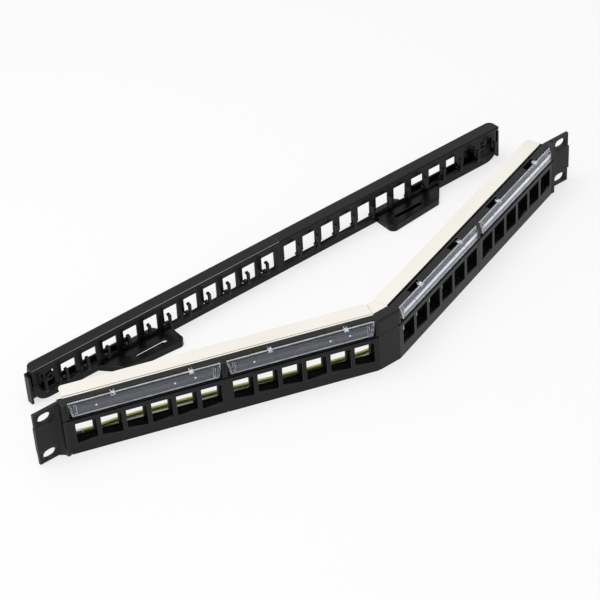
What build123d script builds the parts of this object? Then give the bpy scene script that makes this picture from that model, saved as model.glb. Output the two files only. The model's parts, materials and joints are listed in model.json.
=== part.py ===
from build123d import *
import math
import os

# Angled keystone patch panel for a 19 inch rack, one unit high, with its rear
# cable bar.  Millimetres and degrees.  +X runs to the right across the rack,
# +Y goes into the rack and +Z is up.  The origin is the middle of the four
# rack slots, on the rear face of the ears, where they meet the rack's rails.

# ---- Panel as a whole ----
PANEL_HEIGHT = 44.0          # one rack unit, less its clearance
RACK_RISE = 31.75            # between the two slots of one ear
SLOT_LENGTH = 10.2
SLOT_HEIGHT = 6.8
WING_ANGLE = 18.6            # each wing, against the plane of the rack
MODULE_LENGTH = 110.7        # pitch of the port modules along a wing
MODULES_PER_WING = 2
NOSE_WIDTH = 18.8            # flat piece between the two wings
NOSE_ROUND = 1.6             # its top front edge
JOINT_GAP = 0.3              # visible seam between neighbouring mouldings

# ---- Ears ----
EAR_REACH = 22.064           # beyond the wing's outer corner
SLOT_EDGE = 8.75             # from a slot's centre to the ear's outer edge
EAR_THICKNESS = 3.0
EAR_SETBACK = 7.9            # rear face of the ear behind the wing's outer corner
RIM_WIDTH = 3.0              # upright front rim beside the first port
EAR_RECESS = 0.8             # the slots lie in shallow recesses
EAR_RECESS_REACH = 15.8      # inward from the ear's outer edge
EAR_PAD_HEIGHT = 20.0        # raised pad between the two recesses
EAR_EDGE_STEP = 0.5          # the pad stands out this far at the outer edge
EAR_RECESS_RADIUS = 5.0
CHEEK_BOW = 0.8              # how far the cheek's curve stands out from its chord
LUG_THICKNESS = 3.0          # ear lugs behind the tray's web
LUG_LENGTH = 11.0
LUG_DROP = 3.2               # lugs end this far below the panel's top

# ---- Port modules ----
MODULE_DEPTH = 8.0
PORT_PITCH = 17.6
PORT_START = 5.1             # first port, from the module's left end
PORT_END_WALL = 2.6          # least wall after the last port
PORT_WIDTH = 14.5
PORT_HEIGHT = 15.8
PORT_BOTTOM = -11.9          # height of the sill above the panel's middle
SILL_CHAMFER = 1.2
LATCH_NOTCH_WIDTH = 8.0      # in the port's ceiling, for a jack's spring latch
LATCH_NOTCH_RISE = 1.6
LATCH_WALL = 2.4             # front wall that the spring latch snaps behind
CATCH_WIDTH = 12.0           # in the port's floor, for a jack's fixed toe
CATCH_DEPTH = 1.2
CATCH_LENGTH = 2.0
GROOVE_HEIGHT = 8.5          # line that runs round the whole front
GROOVE_WIDTH = 1.2
GROOVE_DEPTH = 0.8

# ---- Label recess, its strip and its clear cover ----
RECESS_FLOOR = 9.6
RECESS_DEPTH_LOW = 2.4
RECESS_DEPTH_TOP = 3.2
END_WALL = 1.8               # of the recess, at both ends of a module
COVER_CLEARANCE = 0.3
COVER_BOTTOM = 11.1
COVER_FOLD = 16.6            # the cover's face is folded along this height
COVER_PROUD_LOW = 0.9        # in front of the module's face
COVER_PROUD_FOLD = 0.7
COVER_SET_TOP = 1.0          # behind the module's face
COVER_WALL = 1.1
COVER_SLANT = 2.0            # the cover's ends lean inward by this at the bottom
COVER_CELL = 4.2             # end cells of the cover, at the top
RIB_DROP = 3.4               # cross ribs end below the ledge, clear of the swing
STRIP_THICKNESS = 0.5
STRIP_HEIGHT = 8.4
TOP_SLOT_OFFSET = 27.4       # slot centres from the module's middle
TOP_SLOT_LENGTH = 14.4
TOP_SLOT_BACK = 6.8
TOP_SLOT_DEPTH = 6.0
HINGE_BACK = 5.2             # hinge axis behind the module's face
HINGE_DROP = 1.6             # hinge axis below the top
HINGE_PIN_RADIUS = 0.8
HINGE_PLAY = 0.08
HINGE_PIN_LENGTH = 1.8
TAB_WIDTH = 2.6
TAB_THICKNESS = 1.8

# ---- Metal trays and centre bracket ----
SHEET = 1.2
TRAY_DEPTH = 13.4
TRAY_CORNER = 3.0
TRAY_END_GAP = 0.6
CUT_CLEARANCE = 0.7          # web cut-outs beside and above the ports
CUT_DROP = 1.8               # web cut-outs below the ports' sills
CREASE_OFFSET = 1.4          # pressed line in the top flange, behind the web's front
CREASE_WIDTH = 0.6
CREASE_DEPTH = 0.35
BRACKET_LUG = 10.0
BRACKET_GAP = 0.3
WEDGE_SETBACK = 1.0          # wedge's rear edge in front of the trays'
WEDGE_CORNER = 1.2

# ---- Screws through the web ----
SCREW_INSET = 5.5            # from a module's end
SCREW_HIGH = 14.5
SCREW_LOW = -17.0
SCREW_RADIUS = 1.4
SCREW_PLAY = 0.05
SCREW_BITE = 4.0             # thread length in the moulding
SCREW_HEAD_RADIUS = 2.6
SCREW_HEAD_HEIGHT = 1.6
SCREW_HEAD_ROUND = 0.7

# ---- Earth wire ----
WIRE_RADIUS = 1.4
WIRE_AT_NOSE = 17.8          # behind the nose's front
WIRE_ARC_SHARE = 0.45        # of the shorter run, on each side of a bend
STUD_RADIUS = 1.5
STUD_HEIGHT = 5.5
NUT_FLATS = 5.5
NUT_HEIGHT = 2.4
LUG_PLATE = 0.8
LUG_RING_RADIUS = 3.0
LUG_NECK = 1.0               # between the ring and the barrel
BARREL_RADIUS = 1.7
BARREL_LENGTH = 4.5
STUD_INSET = 4.2             # from the wing's outer end
STUD_DEPTH = 17.8            # behind the wing's face
WIRE_LEAD = 8.0              # straight run out of each lug

# ---- Rear cable bar ----
BAR_CENTRE = 5.75            # the bar as it lies behind the panel
BAR_FACE = 53.4
BAR_YAW = 0.44               # it lies slightly askew
BAR_HEIGHT = 30.0
BAR_WALL = 1.5
BAR_REACH = 215.0            # half length of the bar
BAR_FLANGE_DEPTH = 10.4      # from the lip's front to the flange's rear edge
BAR_FLANGE = 1.8
BAR_LIP = 1.5                # the lip stands out from the face
BAR_LIP_DROP = 2.6
BAR_LIP_EDGE = 0.9           # flat underside of the lip
BAR_LIP_ROUND = 0.9          # its top front edge
BAR_CORNER = 5.0             # flange's rear corners
BAR_FACE_CORNER = 11.5       # face's lower outer corners
WINDOW_PITCH = 17.53
WINDOW_WIDTH = 11.6
WINDOW_HEIGHT = 14.65
WINDOW_BOTTOM = 7.9
WINDOW_FIRST = 10.5          # first window's centre from the bar's middle
WINDOW_END_MARGIN = 11.0     # least distance of a window's centre from the bar's end
POCKET_WINDOWS = 5           # the outer windows look into a pocket
POCKET_LEAD = 1.5            # pocket's inner end before its first window's centre
POCKET_DEPTH = 8.0
POCKET_HEIGHT = 9.0
POCKET_WALL = 1.6
POCKET_LAP = 0.2             # the pocket's floor runs into the face

# ---- Ends of the bar ----
END_RETURN = 6.1             # the face turns back this far at the bar's end
END_RETURN_ROUND = 3.2
END_RETURN_BOTTOM = 15.2
END_RETURN_LENGTH = 6.0      # along the bar
END_PLATE = 1.8              # plate behind the last windows, with a cheek at its end
END_PLATE_LEFT = 14.0        # its length inward from the bar's end
END_PLATE_RIGHT = 38.0
END_PLATE_REAR = 7.6
END_PLATE_HEIGHT = 24.0
END_PLATE_PROUD = 2.5        # the cheek stands this far outside the bar's end
END_PLATE_FRONT = 1.0        # the cheek's front edge behind the bar's face
END_PLATE_ROUND = 1.6
SCREW_PLATE_START = -5.0     # plate behind the last window, from the window's centre
SCREW_PLATE_LENGTH = 7.2
SCREW_PLATE_BOTTOM = 12.8
SCREW_PLATE_HEIGHT = 11.0
BOSS_RADIUS = 3.2
BOSS_BORE = 1.3
BOSS_OFFSET = -3.0           # from the last window's centre
BOSS_HEIGHT = 17.0
BOSS_FRONT = 0.6             # the boss ends this far behind the bar's face

# ---- Cable hooks on the bar ----
HOOK_WIDTH = 2.0             # of the finger
HOOK_ROOT_WIDTH = 3.1        # of the arm, where it meets the face
HOOK_INNER = 3.5             # hook's inner side from the window's centre
HOOK_THICKNESS = 1.9
HOOK_ROUND = 1.7             # outside of the bend
HOOK_REACH = 6.1
HOOK_RISE = 10.4
HOOK_TIP = 3.2               # length of the turned-back tip
HOOK_TIP_RISE = 0.6
HOOK_TIP_FALL = 0.9
HOOK_ROOT = 10.3             # height of the arm's underside

# ---- Feet of the bar ----
FOOT_GAP_RIGHT = 9.95        # from a foot's tongue to the bar's pocket
FOOT_GAP_LEFT = 2.45
FOOT_FRONT_LENGTH = 49.0
FOOT_REAR_LENGTH = 63.0
FOOT_DEPTH = 19.0
FOOT_OUTER_DEPTH = 15.5
FOOT_HEIGHT = 5.0
FOOT_WALL = 1.8
FOOT_CORNER = 5.0
FOOT_SLOT_START = 10.0
FOOT_SLOT_LENGTH = 27.0
FOOT_SLOT_WIDTH = 3.4
FOOT_SLOT_DEPTH = 9.5
TONGUE_WIDTH = 23.0
TONGUE_START = 6.5
TONGUE_REACH = 12.0
TONGUE_THICKNESS = 2.0
TONGUE_CORNER = 5.0

# ---- Values that follow from the sizes above ----
TOP = PANEL_HEIGHT / 2
WING_LENGTH = MODULES_PER_WING * MODULE_LENGTH
COS_WING = math.cos(math.radians(WING_ANGLE))
SIN_WING = math.sin(math.radians(WING_ANGLE))
CORNER_X = NOSE_WIDTH / 2 + WING_LENGTH * COS_WING
CORNER_Y = -EAR_SETBACK
PANEL_WIDTH = 2 * (CORNER_X + EAR_REACH)      # 482.6, as the rack's own width
RACK_SPAN = PANEL_WIDTH - 2 * SLOT_EDGE       # 465.1, between the slots of the two ears
NOSE_Y = CORNER_Y - WING_LENGTH * SIN_WING
PORTS = 1 + int((MODULE_LENGTH - PORT_START - PORT_WIDTH - PORT_END_WALL) // PORT_PITCH)
PORT_TOP = PORT_BOTTOM + PORT_HEIGHT
WEB_REAR = MODULE_DEPTH + SHEET
TRAY_REAR = MODULE_DEPTH + TRAY_DEPTH
WINDOWS_PER_HALF = 1 + int((BAR_REACH - WINDOW_END_MARGIN - WINDOW_FIRST) // WINDOW_PITCH)
POCKET_START = WINDOW_FIRST + WINDOW_PITCH * (WINDOWS_PER_HALF - POCKET_WINDOWS) - POCKET_LEAD
FOOT_RIGHT = POCKET_START - FOOT_GAP_RIGHT - TONGUE_WIDTH - TONGUE_START
FOOT_LEFT = POCKET_START - FOOT_GAP_LEFT - TONGUE_WIDTH - TONGUE_START
FLOOR = SHEET - TOP          # upper face of the tray's bottom flange
LEFT_WING = Location((-CORNER_X, CORNER_Y, 0), (0, 0, -WING_ANGLE))
RIGHT_WING = Location((NOSE_WIDTH / 2, NOSE_Y, 0), (0, 0, WING_ANGLE))


# ---- Small building helpers ----
def block(x0, x1, y0, y1, z0, z1):
    """Box between two opposite corners."""
    centre = Pos((x0 + x1) / 2, (y0 + y1) / 2, (z0 + z1) / 2)
    return centre * Box(x1 - x0, y1 - y0, z1 - z0)


def upright(outline, z0, z1):
    """Upright prism over a plan outline."""
    return Pos(0, 0, z0) * extrude(outline, amount=z1 - z0)


def plan(*points):
    """Plan outline through (x, y) corners."""
    return make_face(Polyline(*points, close=True))


def along_x(outline, x0, x1):
    """Prism along X; the outline's own x and y become Y and Z."""
    return Pos(x0, 0, 0) * extrude(Plane.YZ * outline, amount=x1 - x0)


def rod_y(radius, x, z, y0, y1):
    """Round rod along Y."""
    return Pos(x, (y0 + y1) / 2, z) * Rot(90, 0, 0) * Cylinder(radius, y1 - y0)


def rod_x(radius, y, z, x0, x1):
    """Round rod along X."""
    return Pos((x0 + x1) / 2, y, z) * Rot(0, 90, 0) * Cylinder(radius, x1 - x0)


def mirrored(shape):
    """The same shape on the other side of the YZ plane."""
    return mirror(shape, about=Plane.YZ)


def save(name, shape):
    """Write one node."""
    export_step(shape, f"parts/{name}.step")


# ---- Places that several pieces share ----
def port_starts(modules=1):
    """Left edge of each port, along a wing."""
    starts = []
    for module in range(modules):
        for port in range(PORTS):
            starts.append(module * MODULE_LENGTH + PORT_START + port * PORT_PITCH)
    return starts


def module_screw_places(module):
    """Along-wing and height positions of the four screws of one module."""
    start = module * MODULE_LENGTH
    places = []
    for along in (start + SCREW_INSET, start + MODULE_LENGTH - SCREW_INSET):
        for height in (SCREW_LOW, SCREW_HIGH):
            places.append((along, height))
    return places


def front_groove(x0, x1):
    """Cutter for the shallow line along the front."""
    low = GROOVE_HEIGHT - GROOVE_WIDTH / 2
    return block(x0, x1, -GROOVE_DEPTH, GROOVE_DEPTH, low, low + GROOVE_WIDTH)


# ---- Port module ----
def port_cutter(start):
    """Passage of one port with its sill chamfer, latch notch and toe catch."""
    end = start + PORT_WIDTH
    middle = (start + end) / 2
    passage = block(start, end, -1, MODULE_DEPTH + 1, PORT_BOTTOM, PORT_TOP)
    sill = plan(
        (-1, PORT_BOTTOM - SILL_CHAMFER - 1),
        (-1, PORT_BOTTOM + 1),
        (SILL_CHAMFER + 1, PORT_BOTTOM + 1),
        (SILL_CHAMFER, PORT_BOTTOM),
    )
    notch = block(
        middle - LATCH_NOTCH_WIDTH / 2, middle + LATCH_NOTCH_WIDTH / 2,
        LATCH_WALL, MODULE_DEPTH + 1, PORT_TOP - 1, PORT_TOP + LATCH_NOTCH_RISE,
    )
    catch = block(
        middle - CATCH_WIDTH / 2, middle + CATCH_WIDTH / 2,
        MODULE_DEPTH - 2 * CATCH_LENGTH, MODULE_DEPTH - CATCH_LENGTH,
        PORT_BOTTOM - CATCH_DEPTH, PORT_BOTTOM + 1,
    )
    return passage + along_x(sill, start, end) + notch + catch


def top_slot_spans():
    """Ends of the two slots in a module's top ledge."""
    spans = []
    for offset in (-TOP_SLOT_OFFSET, TOP_SLOT_OFFSET):
        centre = MODULE_LENGTH / 2 + offset
        spans.append((centre - TOP_SLOT_LENGTH / 2, centre + TOP_SLOT_LENGTH / 2))
    return spans


def port_module():
    """Moulded bezel with six keystone ports, a label recess and a top ledge."""
    x0 = JOINT_GAP / 2
    x1 = MODULE_LENGTH - JOINT_GAP / 2
    body = block(x0, x1, 0, MODULE_DEPTH, -TOP, TOP)
    recess = plan(
        (-1, RECESS_FLOOR), (RECESS_DEPTH_LOW, RECESS_FLOOR),
        (RECESS_DEPTH_TOP, TOP), (RECESS_DEPTH_TOP, TOP + 1), (-1, TOP + 1),
    )
    body -= along_x(recess, END_WALL, MODULE_LENGTH - END_WALL)
    body -= front_groove(0, MODULE_LENGTH)
    for start in port_starts():
        body -= port_cutter(start)
    for low, high in top_slot_spans():
        body -= block(low, high, 0, TOP_SLOT_BACK, TOP - TOP_SLOT_DEPTH, TOP + 1)
        body -= rod_x(
            HINGE_PIN_RADIUS + HINGE_PLAY, HINGE_BACK, TOP - HINGE_DROP,
            high - 1, high + HINGE_PIN_LENGTH + JOINT_GAP,
        )
    for along, height in module_screw_places(0):
        body -= rod_y(
            SCREW_RADIUS + SCREW_PLAY, along, height,
            MODULE_DEPTH - SCREW_BITE - JOINT_GAP, MODULE_DEPTH + 1,
        )
    return body


# ---- Label cover and strip ----
def cover_outer():
    """Corners of the cover's outer face, bottom to top, as (y, z)."""
    return [
        (-COVER_PROUD_LOW, COVER_BOTTOM),
        (-COVER_PROUD_FOLD, COVER_FOLD),
        (COVER_SET_TOP, TOP),
    ]


def cover_inner():
    """Corners of the cover's inner face, bottom to top."""
    return [(y + COVER_WALL, z) for y, z in cover_outer()]


def cover_web_back(z):
    """Rear edge of the cover's end walls, clear of the recess wall."""
    share = (z - RECESS_FLOOR) / (TOP - RECESS_FLOOR)
    wall = RECESS_DEPTH_LOW + share * (RECESS_DEPTH_TOP - RECESS_DEPTH_LOW)
    return wall - COVER_CLEARANCE


def cover_end(left, right):
    """Upright slab at the cover's left end, leaning inward towards the bottom."""
    slab = plan(
        (left + COVER_SLANT, COVER_BOTTOM), (left, TOP),
        (right, TOP), (right + COVER_SLANT, COVER_BOTTOM),
    )
    return extrude(Plane.XZ * slab, amount=MODULE_DEPTH, both=True)


def label_cover():
    """Clear cover: a folded face, slanted end walls, two cross ribs and two hinge tabs."""
    x0 = END_WALL + COVER_CLEARANCE
    x1 = MODULE_LENGTH - x0
    cover = along_x(plan(*cover_outer(), *reversed(cover_inner())), x0, x1)
    rib_top = TOP - RIB_DROP
    rib = plan(
        *cover_outer()[:2],
        (cover_outer()[1][0] + COVER_WALL, rib_top),
        (cover_web_back(rib_top), rib_top),
        (cover_web_back(COVER_BOTTOM), COVER_BOTTOM),
    )
    trim = cover_end(x0 - 2 * COVER_SLANT, x0)
    end_wall = along_x(rib, x0, x0 + COVER_CELL) & cover_end(x0, x0 + COVER_WALL)
    cover -= trim
    cover -= Pos(MODULE_LENGTH, 0, 0) * mirrored(trim)
    cover += end_wall
    cover += Pos(MODULE_LENGTH, 0, 0) * mirrored(end_wall)
    for start in (x0 + COVER_CELL, x1 - COVER_CELL - COVER_WALL):
        cover += along_x(rib, start, start + COVER_WALL)
    axis_z = TOP - HINGE_DROP
    for low, high in top_slot_spans():
        right = high - COVER_CLEARANCE
        left = right - TAB_WIDTH
        half = TAB_THICKNESS / 2
        arm = block(left, right, COVER_SET_TOP, HINGE_BACK, axis_z - half, axis_z + half)
        cover += arm + rod_x(half, HINGE_BACK, axis_z, left, right)
        cover += rod_x(HINGE_PIN_RADIUS, HINGE_BACK, axis_z, left, high + HINGE_PIN_LENGTH)
    return cover


def label_strip():
    """Blank card that stands against the rear wall of the label recess."""
    inset = END_WALL + COVER_CLEARANCE + COVER_CELL + COVER_WALL + COVER_CLEARANCE
    low = RECESS_FLOOR
    high = RECESS_FLOOR + STRIP_HEIGHT
    back_low = cover_web_back(low) + COVER_CLEARANCE
    back_high = cover_web_back(high) + COVER_CLEARANCE
    card = plan(
        (back_low - STRIP_THICKNESS, low), (back_low, low),
        (back_high, high), (back_high - STRIP_THICKNESS, high),
    )
    return along_x(card, inset, MODULE_LENGTH - inset)


# ---- Nose ----
def nose_cover():
    """Flat cover between the wings, with side faces on the wings' end planes."""
    depth = WEB_REAR * COS_WING
    front = NOSE_WIDTH / 2 - JOINT_GAP / 2
    rear = front - depth * math.tan(math.radians(WING_ANGLE))
    outline = plan(
        (-front, NOSE_Y), (front, NOSE_Y), (rear, NOSE_Y + depth), (-rear, NOSE_Y + depth)
    )
    body = upright(outline, -TOP, TOP)
    top_edge = body.edges().filter_by(Axis.X).group_by(Axis.Z)[-1].sort_by(Axis.Y)[0]
    body = fillet(top_edge, NOSE_ROUND)
    return body - Pos(0, NOSE_Y, 0) * front_groove(-NOSE_WIDTH, NOSE_WIDTH)


# ---- Tray ----
def web_cuts(modules):
    """Cutters for the ports in the web of a tray or lug."""
    cuts = None
    for start in port_starts(modules):
        cut = block(
            start - CUT_CLEARANCE, start + PORT_WIDTH + CUT_CLEARANCE,
            MODULE_DEPTH - 1, TRAY_REAR,
            PORT_BOTTOM - CUT_DROP, PORT_TOP + LATCH_NOTCH_RISE + CUT_CLEARANCE,
        )
        cuts = cut if cuts is None else cuts + cut
    return cuts


def tray():
    """C-shaped sheet behind the right wing: web with port cut-outs, two flanges."""
    x0 = BRACKET_GAP
    x1 = WING_LENGTH - TRAY_END_GAP
    flange = RectangleRounded(x1 - x0, TRAY_DEPTH * 2, TRAY_CORNER)
    flange = Pos((x0 + x1) / 2, MODULE_DEPTH) * flange
    flange -= Pos((x0 + x1) / 2, MODULE_DEPTH - TRAY_DEPTH) * Rectangle(x1, TRAY_DEPTH * 2)
    body = block(x0, x1, MODULE_DEPTH, WEB_REAR, -TOP, TOP)
    body += upright(flange, TOP - SHEET, TOP)
    body += upright(flange, -TOP, FLOOR)
    body -= web_cuts(MODULES_PER_WING)
    for module in range(MODULES_PER_WING):
        for along, height in module_screw_places(module):
            body -= rod_y(SCREW_RADIUS + SCREW_PLAY, along, height, MODULE_DEPTH - 1, WEB_REAR + 1)
    stud_hole = Cylinder(STUD_RADIUS + SCREW_PLAY, 4 * SHEET)
    body -= Pos(WING_LENGTH - STUD_INSET, STUD_DEPTH, -TOP) * stud_hole
    crease = MODULE_DEPTH + CREASE_OFFSET
    body -= block(x0 - 1, x1 + 1, crease, crease + CREASE_WIDTH, TOP - CREASE_DEPTH, TOP + 1)
    return body


# ---- Ear ----
def ear_right():
    """Rack ear with its cheek, front rim and two lugs behind the tray's web."""
    outer = PANEL_WIDTH / 2
    front = -EAR_THICKNESS
    rim = CORNER_X + RIM_WIDTH
    seat = JOINT_GAP / 2
    inner = CORNER_X + seat
    lug_rear = WEB_REAR + LUG_THICKNESS
    rear_x = inner - lug_rear * SIN_WING
    rear_y = CORNER_Y + lug_rear * COS_WING
    middle = ((2 * rim + RIM_WIDTH) / 2 - CHEEK_BOW, (CORNER_Y + front) / 2 + CHEEK_BOW)
    cheek = ThreePointArc((rim, CORNER_Y), middle, (rim + RIM_WIDTH, front))
    end_x = inner + CORNER_Y * math.tan(math.radians(WING_ANGLE))
    outline = Curve() + [
        Line((inner, CORNER_Y), (rim, CORNER_Y)),
        cheek,
        Polyline((rim + RIM_WIDTH, front), (outer, front), (outer, 0), (end_x, 0), (inner, CORNER_Y)),
    ]
    body = upright(make_face(outline), -TOP, TOP)
    lug_top = TOP - LUG_DROP
    neck = plan((end_x, 0), (end_x + RIM_WIDTH, 0), (rear_x + RIM_WIDTH, rear_y), (rear_x, rear_y))
    body += upright(neck, -lug_top, lug_top)
    pad = EAR_PAD_HEIGHT / 2
    for side in (1, -1):
        recess = block(
            outer - EAR_RECESS_REACH, outer + 2 * EAR_RECESS_REACH,
            front - 1, front + EAR_RECESS, pad, pad + PANEL_HEIGHT,
        )
        corner = recess.edges().filter_by(Axis.Y).group_by(Axis.X)[0].sort_by(Axis.Z)[0]
        recess = fillet(corner, EAR_RECESS_RADIUS)
        edge = block(outer - EAR_EDGE_STEP, outer + 1, front - 1, 1, pad, TOP + 1)
        cut = recess + edge
        if side < 0:
            cut = mirror(cut, about=Plane.XY)
        body -= cut
        slot = SlotOverall(SLOT_LENGTH, SLOT_HEIGHT)
        slot = Plane.XZ * Pos(RACK_SPAN / 2, side * RACK_RISE / 2) * slot
        body -= extrude(slot, amount=EAR_THICKNESS + 1, both=True)
    body -= Pos(0, CORNER_Y, 0) * front_groove(CORNER_X - 1, rim + 1)
    lug = block(
        WING_LENGTH - LUG_LENGTH, WING_LENGTH + RIM_WIDTH, WEB_REAR, lug_rear, -lug_top, lug_top
    )
    lug -= web_cuts(MODULES_PER_WING)
    lug -= block(
        WING_LENGTH - LUG_LENGTH - 1, WING_LENGTH - seat, WEB_REAR - 1, lug_rear + 1,
        PORT_BOTTOM - CUT_DROP, PORT_TOP + LATCH_NOTCH_RISE + CUT_CLEARANCE,
    )
    for along, height in module_screw_places(MODULES_PER_WING - 1)[2:]:
        lug -= rod_y(SCREW_RADIUS + SCREW_PLAY, along, height, WEB_REAR - 1, lug_rear + 1)
    return body + RIGHT_WING * lug


# ---- Centre bracket ----
def centre_bracket():
    """Bent plate that joins both trays, with a wedge above and one below."""
    start = WEB_REAR
    bend_x = NOSE_WIDTH / 2 - start * SIN_WING
    bend_y = NOSE_Y + start * COS_WING
    rear = start + SHEET
    rear_x = bend_x - SHEET * math.tan(math.radians(WING_ANGLE / 2))
    lug = block(0, BRACKET_LUG, start, rear, FLOOR + JOINT_GAP, -FLOOR - JOINT_GAP)
    lug -= web_cuts(1)
    lug -= block(
        JOINT_GAP, BRACKET_LUG + 1, start - 1, rear + 1,
        PORT_BOTTOM - CUT_DROP, PORT_TOP + LATCH_NOTCH_RISE + CUT_CLEARANCE,
    )
    for along, height in module_screw_places(0)[:2]:
        lug -= rod_y(SCREW_RADIUS + SCREW_PLAY, along, height, start - 1, rear + 1)
    lug = RIGHT_WING * lug
    web = plan(
        (-bend_x, bend_y), (bend_x, bend_y), (rear_x, bend_y + SHEET), (-rear_x, bend_y + SHEET)
    )
    body = upright(web, -TOP, TOP) + lug + mirrored(lug)
    half_front = bend_x
    depth = TRAY_DEPTH - SHEET - WEDGE_SETBACK
    half_rear = half_front - depth * math.tan(math.radians(WING_ANGLE))
    wedge = plan(
        (-half_front, bend_y), (half_front, bend_y),
        (half_rear, bend_y + depth), (-half_rear, bend_y + depth),
    )
    plate = upright(wedge, 0, SHEET)
    rear_corners = plate.edges().filter_by(Axis.Z).group_by(Axis.Y)[-1]
    plate = fillet(rear_corners, WEDGE_CORNER)
    return body + Pos(0, 0, TOP - SHEET) * plate + Pos(0, 0, -TOP) * plate


# ---- Screws ----
def web_screw(along, height, seat):
    """Pan-head screw whose head rests on the face at depth seat."""
    shank = rod_y(SCREW_RADIUS, along, height, MODULE_DEPTH - SCREW_BITE, seat)
    head = rod_y(SCREW_HEAD_RADIUS, along, height, seat, seat + SCREW_HEAD_HEIGHT)
    rim = head.edges().group_by(Axis.Y)[-1]
    return shank + fillet(rim, SCREW_HEAD_ROUND)


def screws(places, seat, wing):
    """Group of screws of one kind on one wing."""
    return [wing * web_screw(along, height, seat) for along, height in places]


# ---- Earth wire ----
def on_wing(wing, along, depth, height):
    """Point in the part's frame for a place on a wing."""
    return (wing * Pos(along, depth, height)).position


def earth_lug(wing, along, turn):
    """Ring lug on a stud, its barrel pointing along the wing."""
    plate = Cylinder(LUG_RING_RADIUS, LUG_PLATE)
    start = LUG_RING_RADIUS + LUG_NECK
    neck = block(0, start + LUG_NECK / 2, -BARREL_RADIUS, BARREL_RADIUS, -LUG_PLATE / 2, LUG_PLATE / 2)
    barrel = rod_x(BARREL_RADIUS, 0, BARREL_RADIUS - LUG_PLATE / 2, start, start + BARREL_LENGTH)
    lug = plate + neck + barrel - Cylinder(STUD_RADIUS + JOINT_GAP, 3 * LUG_PLATE)
    place = Pos(along, STUD_DEPTH, FLOOR + LUG_PLATE / 2) * Rot(0, 0, turn)
    return wing * place * lug


def earth_stud(wing, along):
    """Press-in stud, flush with the underside of the tray."""
    return wing * Pos(along, STUD_DEPTH, STUD_HEIGHT / 2 - TOP) * Cylinder(STUD_RADIUS, STUD_HEIGHT)


def earth_nut(wing, along):
    """Hexagon nut on top of the lug."""
    nut = extrude(RegularPolygon(NUT_FLATS / 2, 6, major_radius=False), amount=NUT_HEIGHT)
    nut -= Cylinder(STUD_RADIUS + SCREW_PLAY, 3 * NUT_HEIGHT)
    return wing * Pos(along, STUD_DEPTH, FLOOR + LUG_PLATE) * nut


def wire_route():
    """Hand-set points of the wire along the floor of both trays."""
    height = FLOOR + BARREL_RADIUS
    start = STUD_INSET + LUG_RING_RADIUS + LUG_NECK + BARREL_LENGTH
    lead = start + WIRE_LEAD
    points = []
    from_left_end = [(start, STUD_DEPTH), (lead, STUD_DEPTH), (37, 19.9), (60, 20.7), (88, 20.4)]
    to_nose = [(103.4, 19.8), (73.4, 18.6), (45.4, 17.6), (22.4, 18.6)]
    from_nose = [(22, 18.6), (46, 17.4), (76, 18.6), (106, 20.0)]
    to_right_end = [(85.4, 20.4), (57.4, 19.5), (33, 19.9), (lead, STUD_DEPTH), (start, STUD_DEPTH)]
    for along, depth in from_left_end:
        points.append(on_wing(LEFT_WING, along, depth, height))
    for distance, depth in to_nose:
        points.append(on_wing(LEFT_WING, WING_LENGTH - distance, depth, height))
    points.append(Vector(0, NOSE_Y + WIRE_AT_NOSE, height))
    for along, depth in from_nose:
        points.append(on_wing(RIGHT_WING, along, depth, height))
    for distance, depth in to_right_end:
        points.append(on_wing(RIGHT_WING, WING_LENGTH - distance, depth, height))
    return points


def earth_wire():
    """Wire through the route's points, with the widest arc at each of them."""
    points = wire_route()
    radii = []
    for before, corner, after in zip(points, points[1:], points[2:]):
        turn = math.radians((corner - before).get_angle(after - corner))
        shorter = min((corner - before).length, (after - corner).length)
        radii.append(WIRE_ARC_SHARE * shorter / math.tan(turn / 2))
    print("wire bend radii:", [round(radius, 1) for radius in radii])
    path = FilletPolyline(*points, radius=radii)
    section = Plane(origin=path @ 0, z_dir=path % 0) * Circle(WIRE_RADIUS)
    return sweep(section, path=path)


# ---- Cable bar ----
def window_centres():
    """Window centres of the right half, from the bar's middle outward."""
    return [WINDOW_FIRST + WINDOW_PITCH * index for index in range(WINDOWS_PER_HALF)]


def foot_notch(foot_inner):
    """Cutter in the bar's lower edge that the foot's tongue passes through."""
    start = foot_inner + TONGUE_START
    return block(
        start - JOINT_GAP, start + TONGUE_WIDTH + JOINT_GAP, -1, BAR_WALL + 1,
        -1, TONGUE_THICKNESS + JOINT_GAP,
    )


def bar_half(foot_inner, plate_length):
    """Right half of the bar: its face, top flange, windows, pocket and end."""
    body = block(0, BAR_REACH, 0, BAR_WALL, 0, BAR_HEIGHT)
    lower = body.edges().filter_by(Axis.Y).group_by(Axis.X)[-1].sort_by(Axis.Z)[0]
    body = fillet(lower, BAR_FACE_CORNER)
    rear = BAR_FLANGE_DEPTH - BAR_LIP
    flange = block(0, BAR_REACH, 0, rear, BAR_HEIGHT - BAR_FLANGE, BAR_HEIGHT)
    corner = flange.edges().filter_by(Axis.Z).group_by(Axis.X)[-1].sort_by(Axis.Y)[-1]
    body += fillet(corner, BAR_CORNER)
    body += bar_lip()
    body -= block(
        BAR_REACH - END_RETURN_LENGTH, BAR_REACH + 1, 0, BAR_WALL,
        END_RETURN_BOTTOM, BAR_HEIGHT - BAR_FLANGE,
    )
    body += end_return()
    for centre in window_centres():
        body -= block(
            centre - WINDOW_WIDTH / 2, centre + WINDOW_WIDTH / 2, -1, BAR_WALL + 1,
            WINDOW_BOTTOM, WINDOW_BOTTOM + WINDOW_HEIGHT,
        )
    return body + bar_pocket() + end_plate(plate_length) + screw_plate() - foot_notch(foot_inner)


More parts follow.
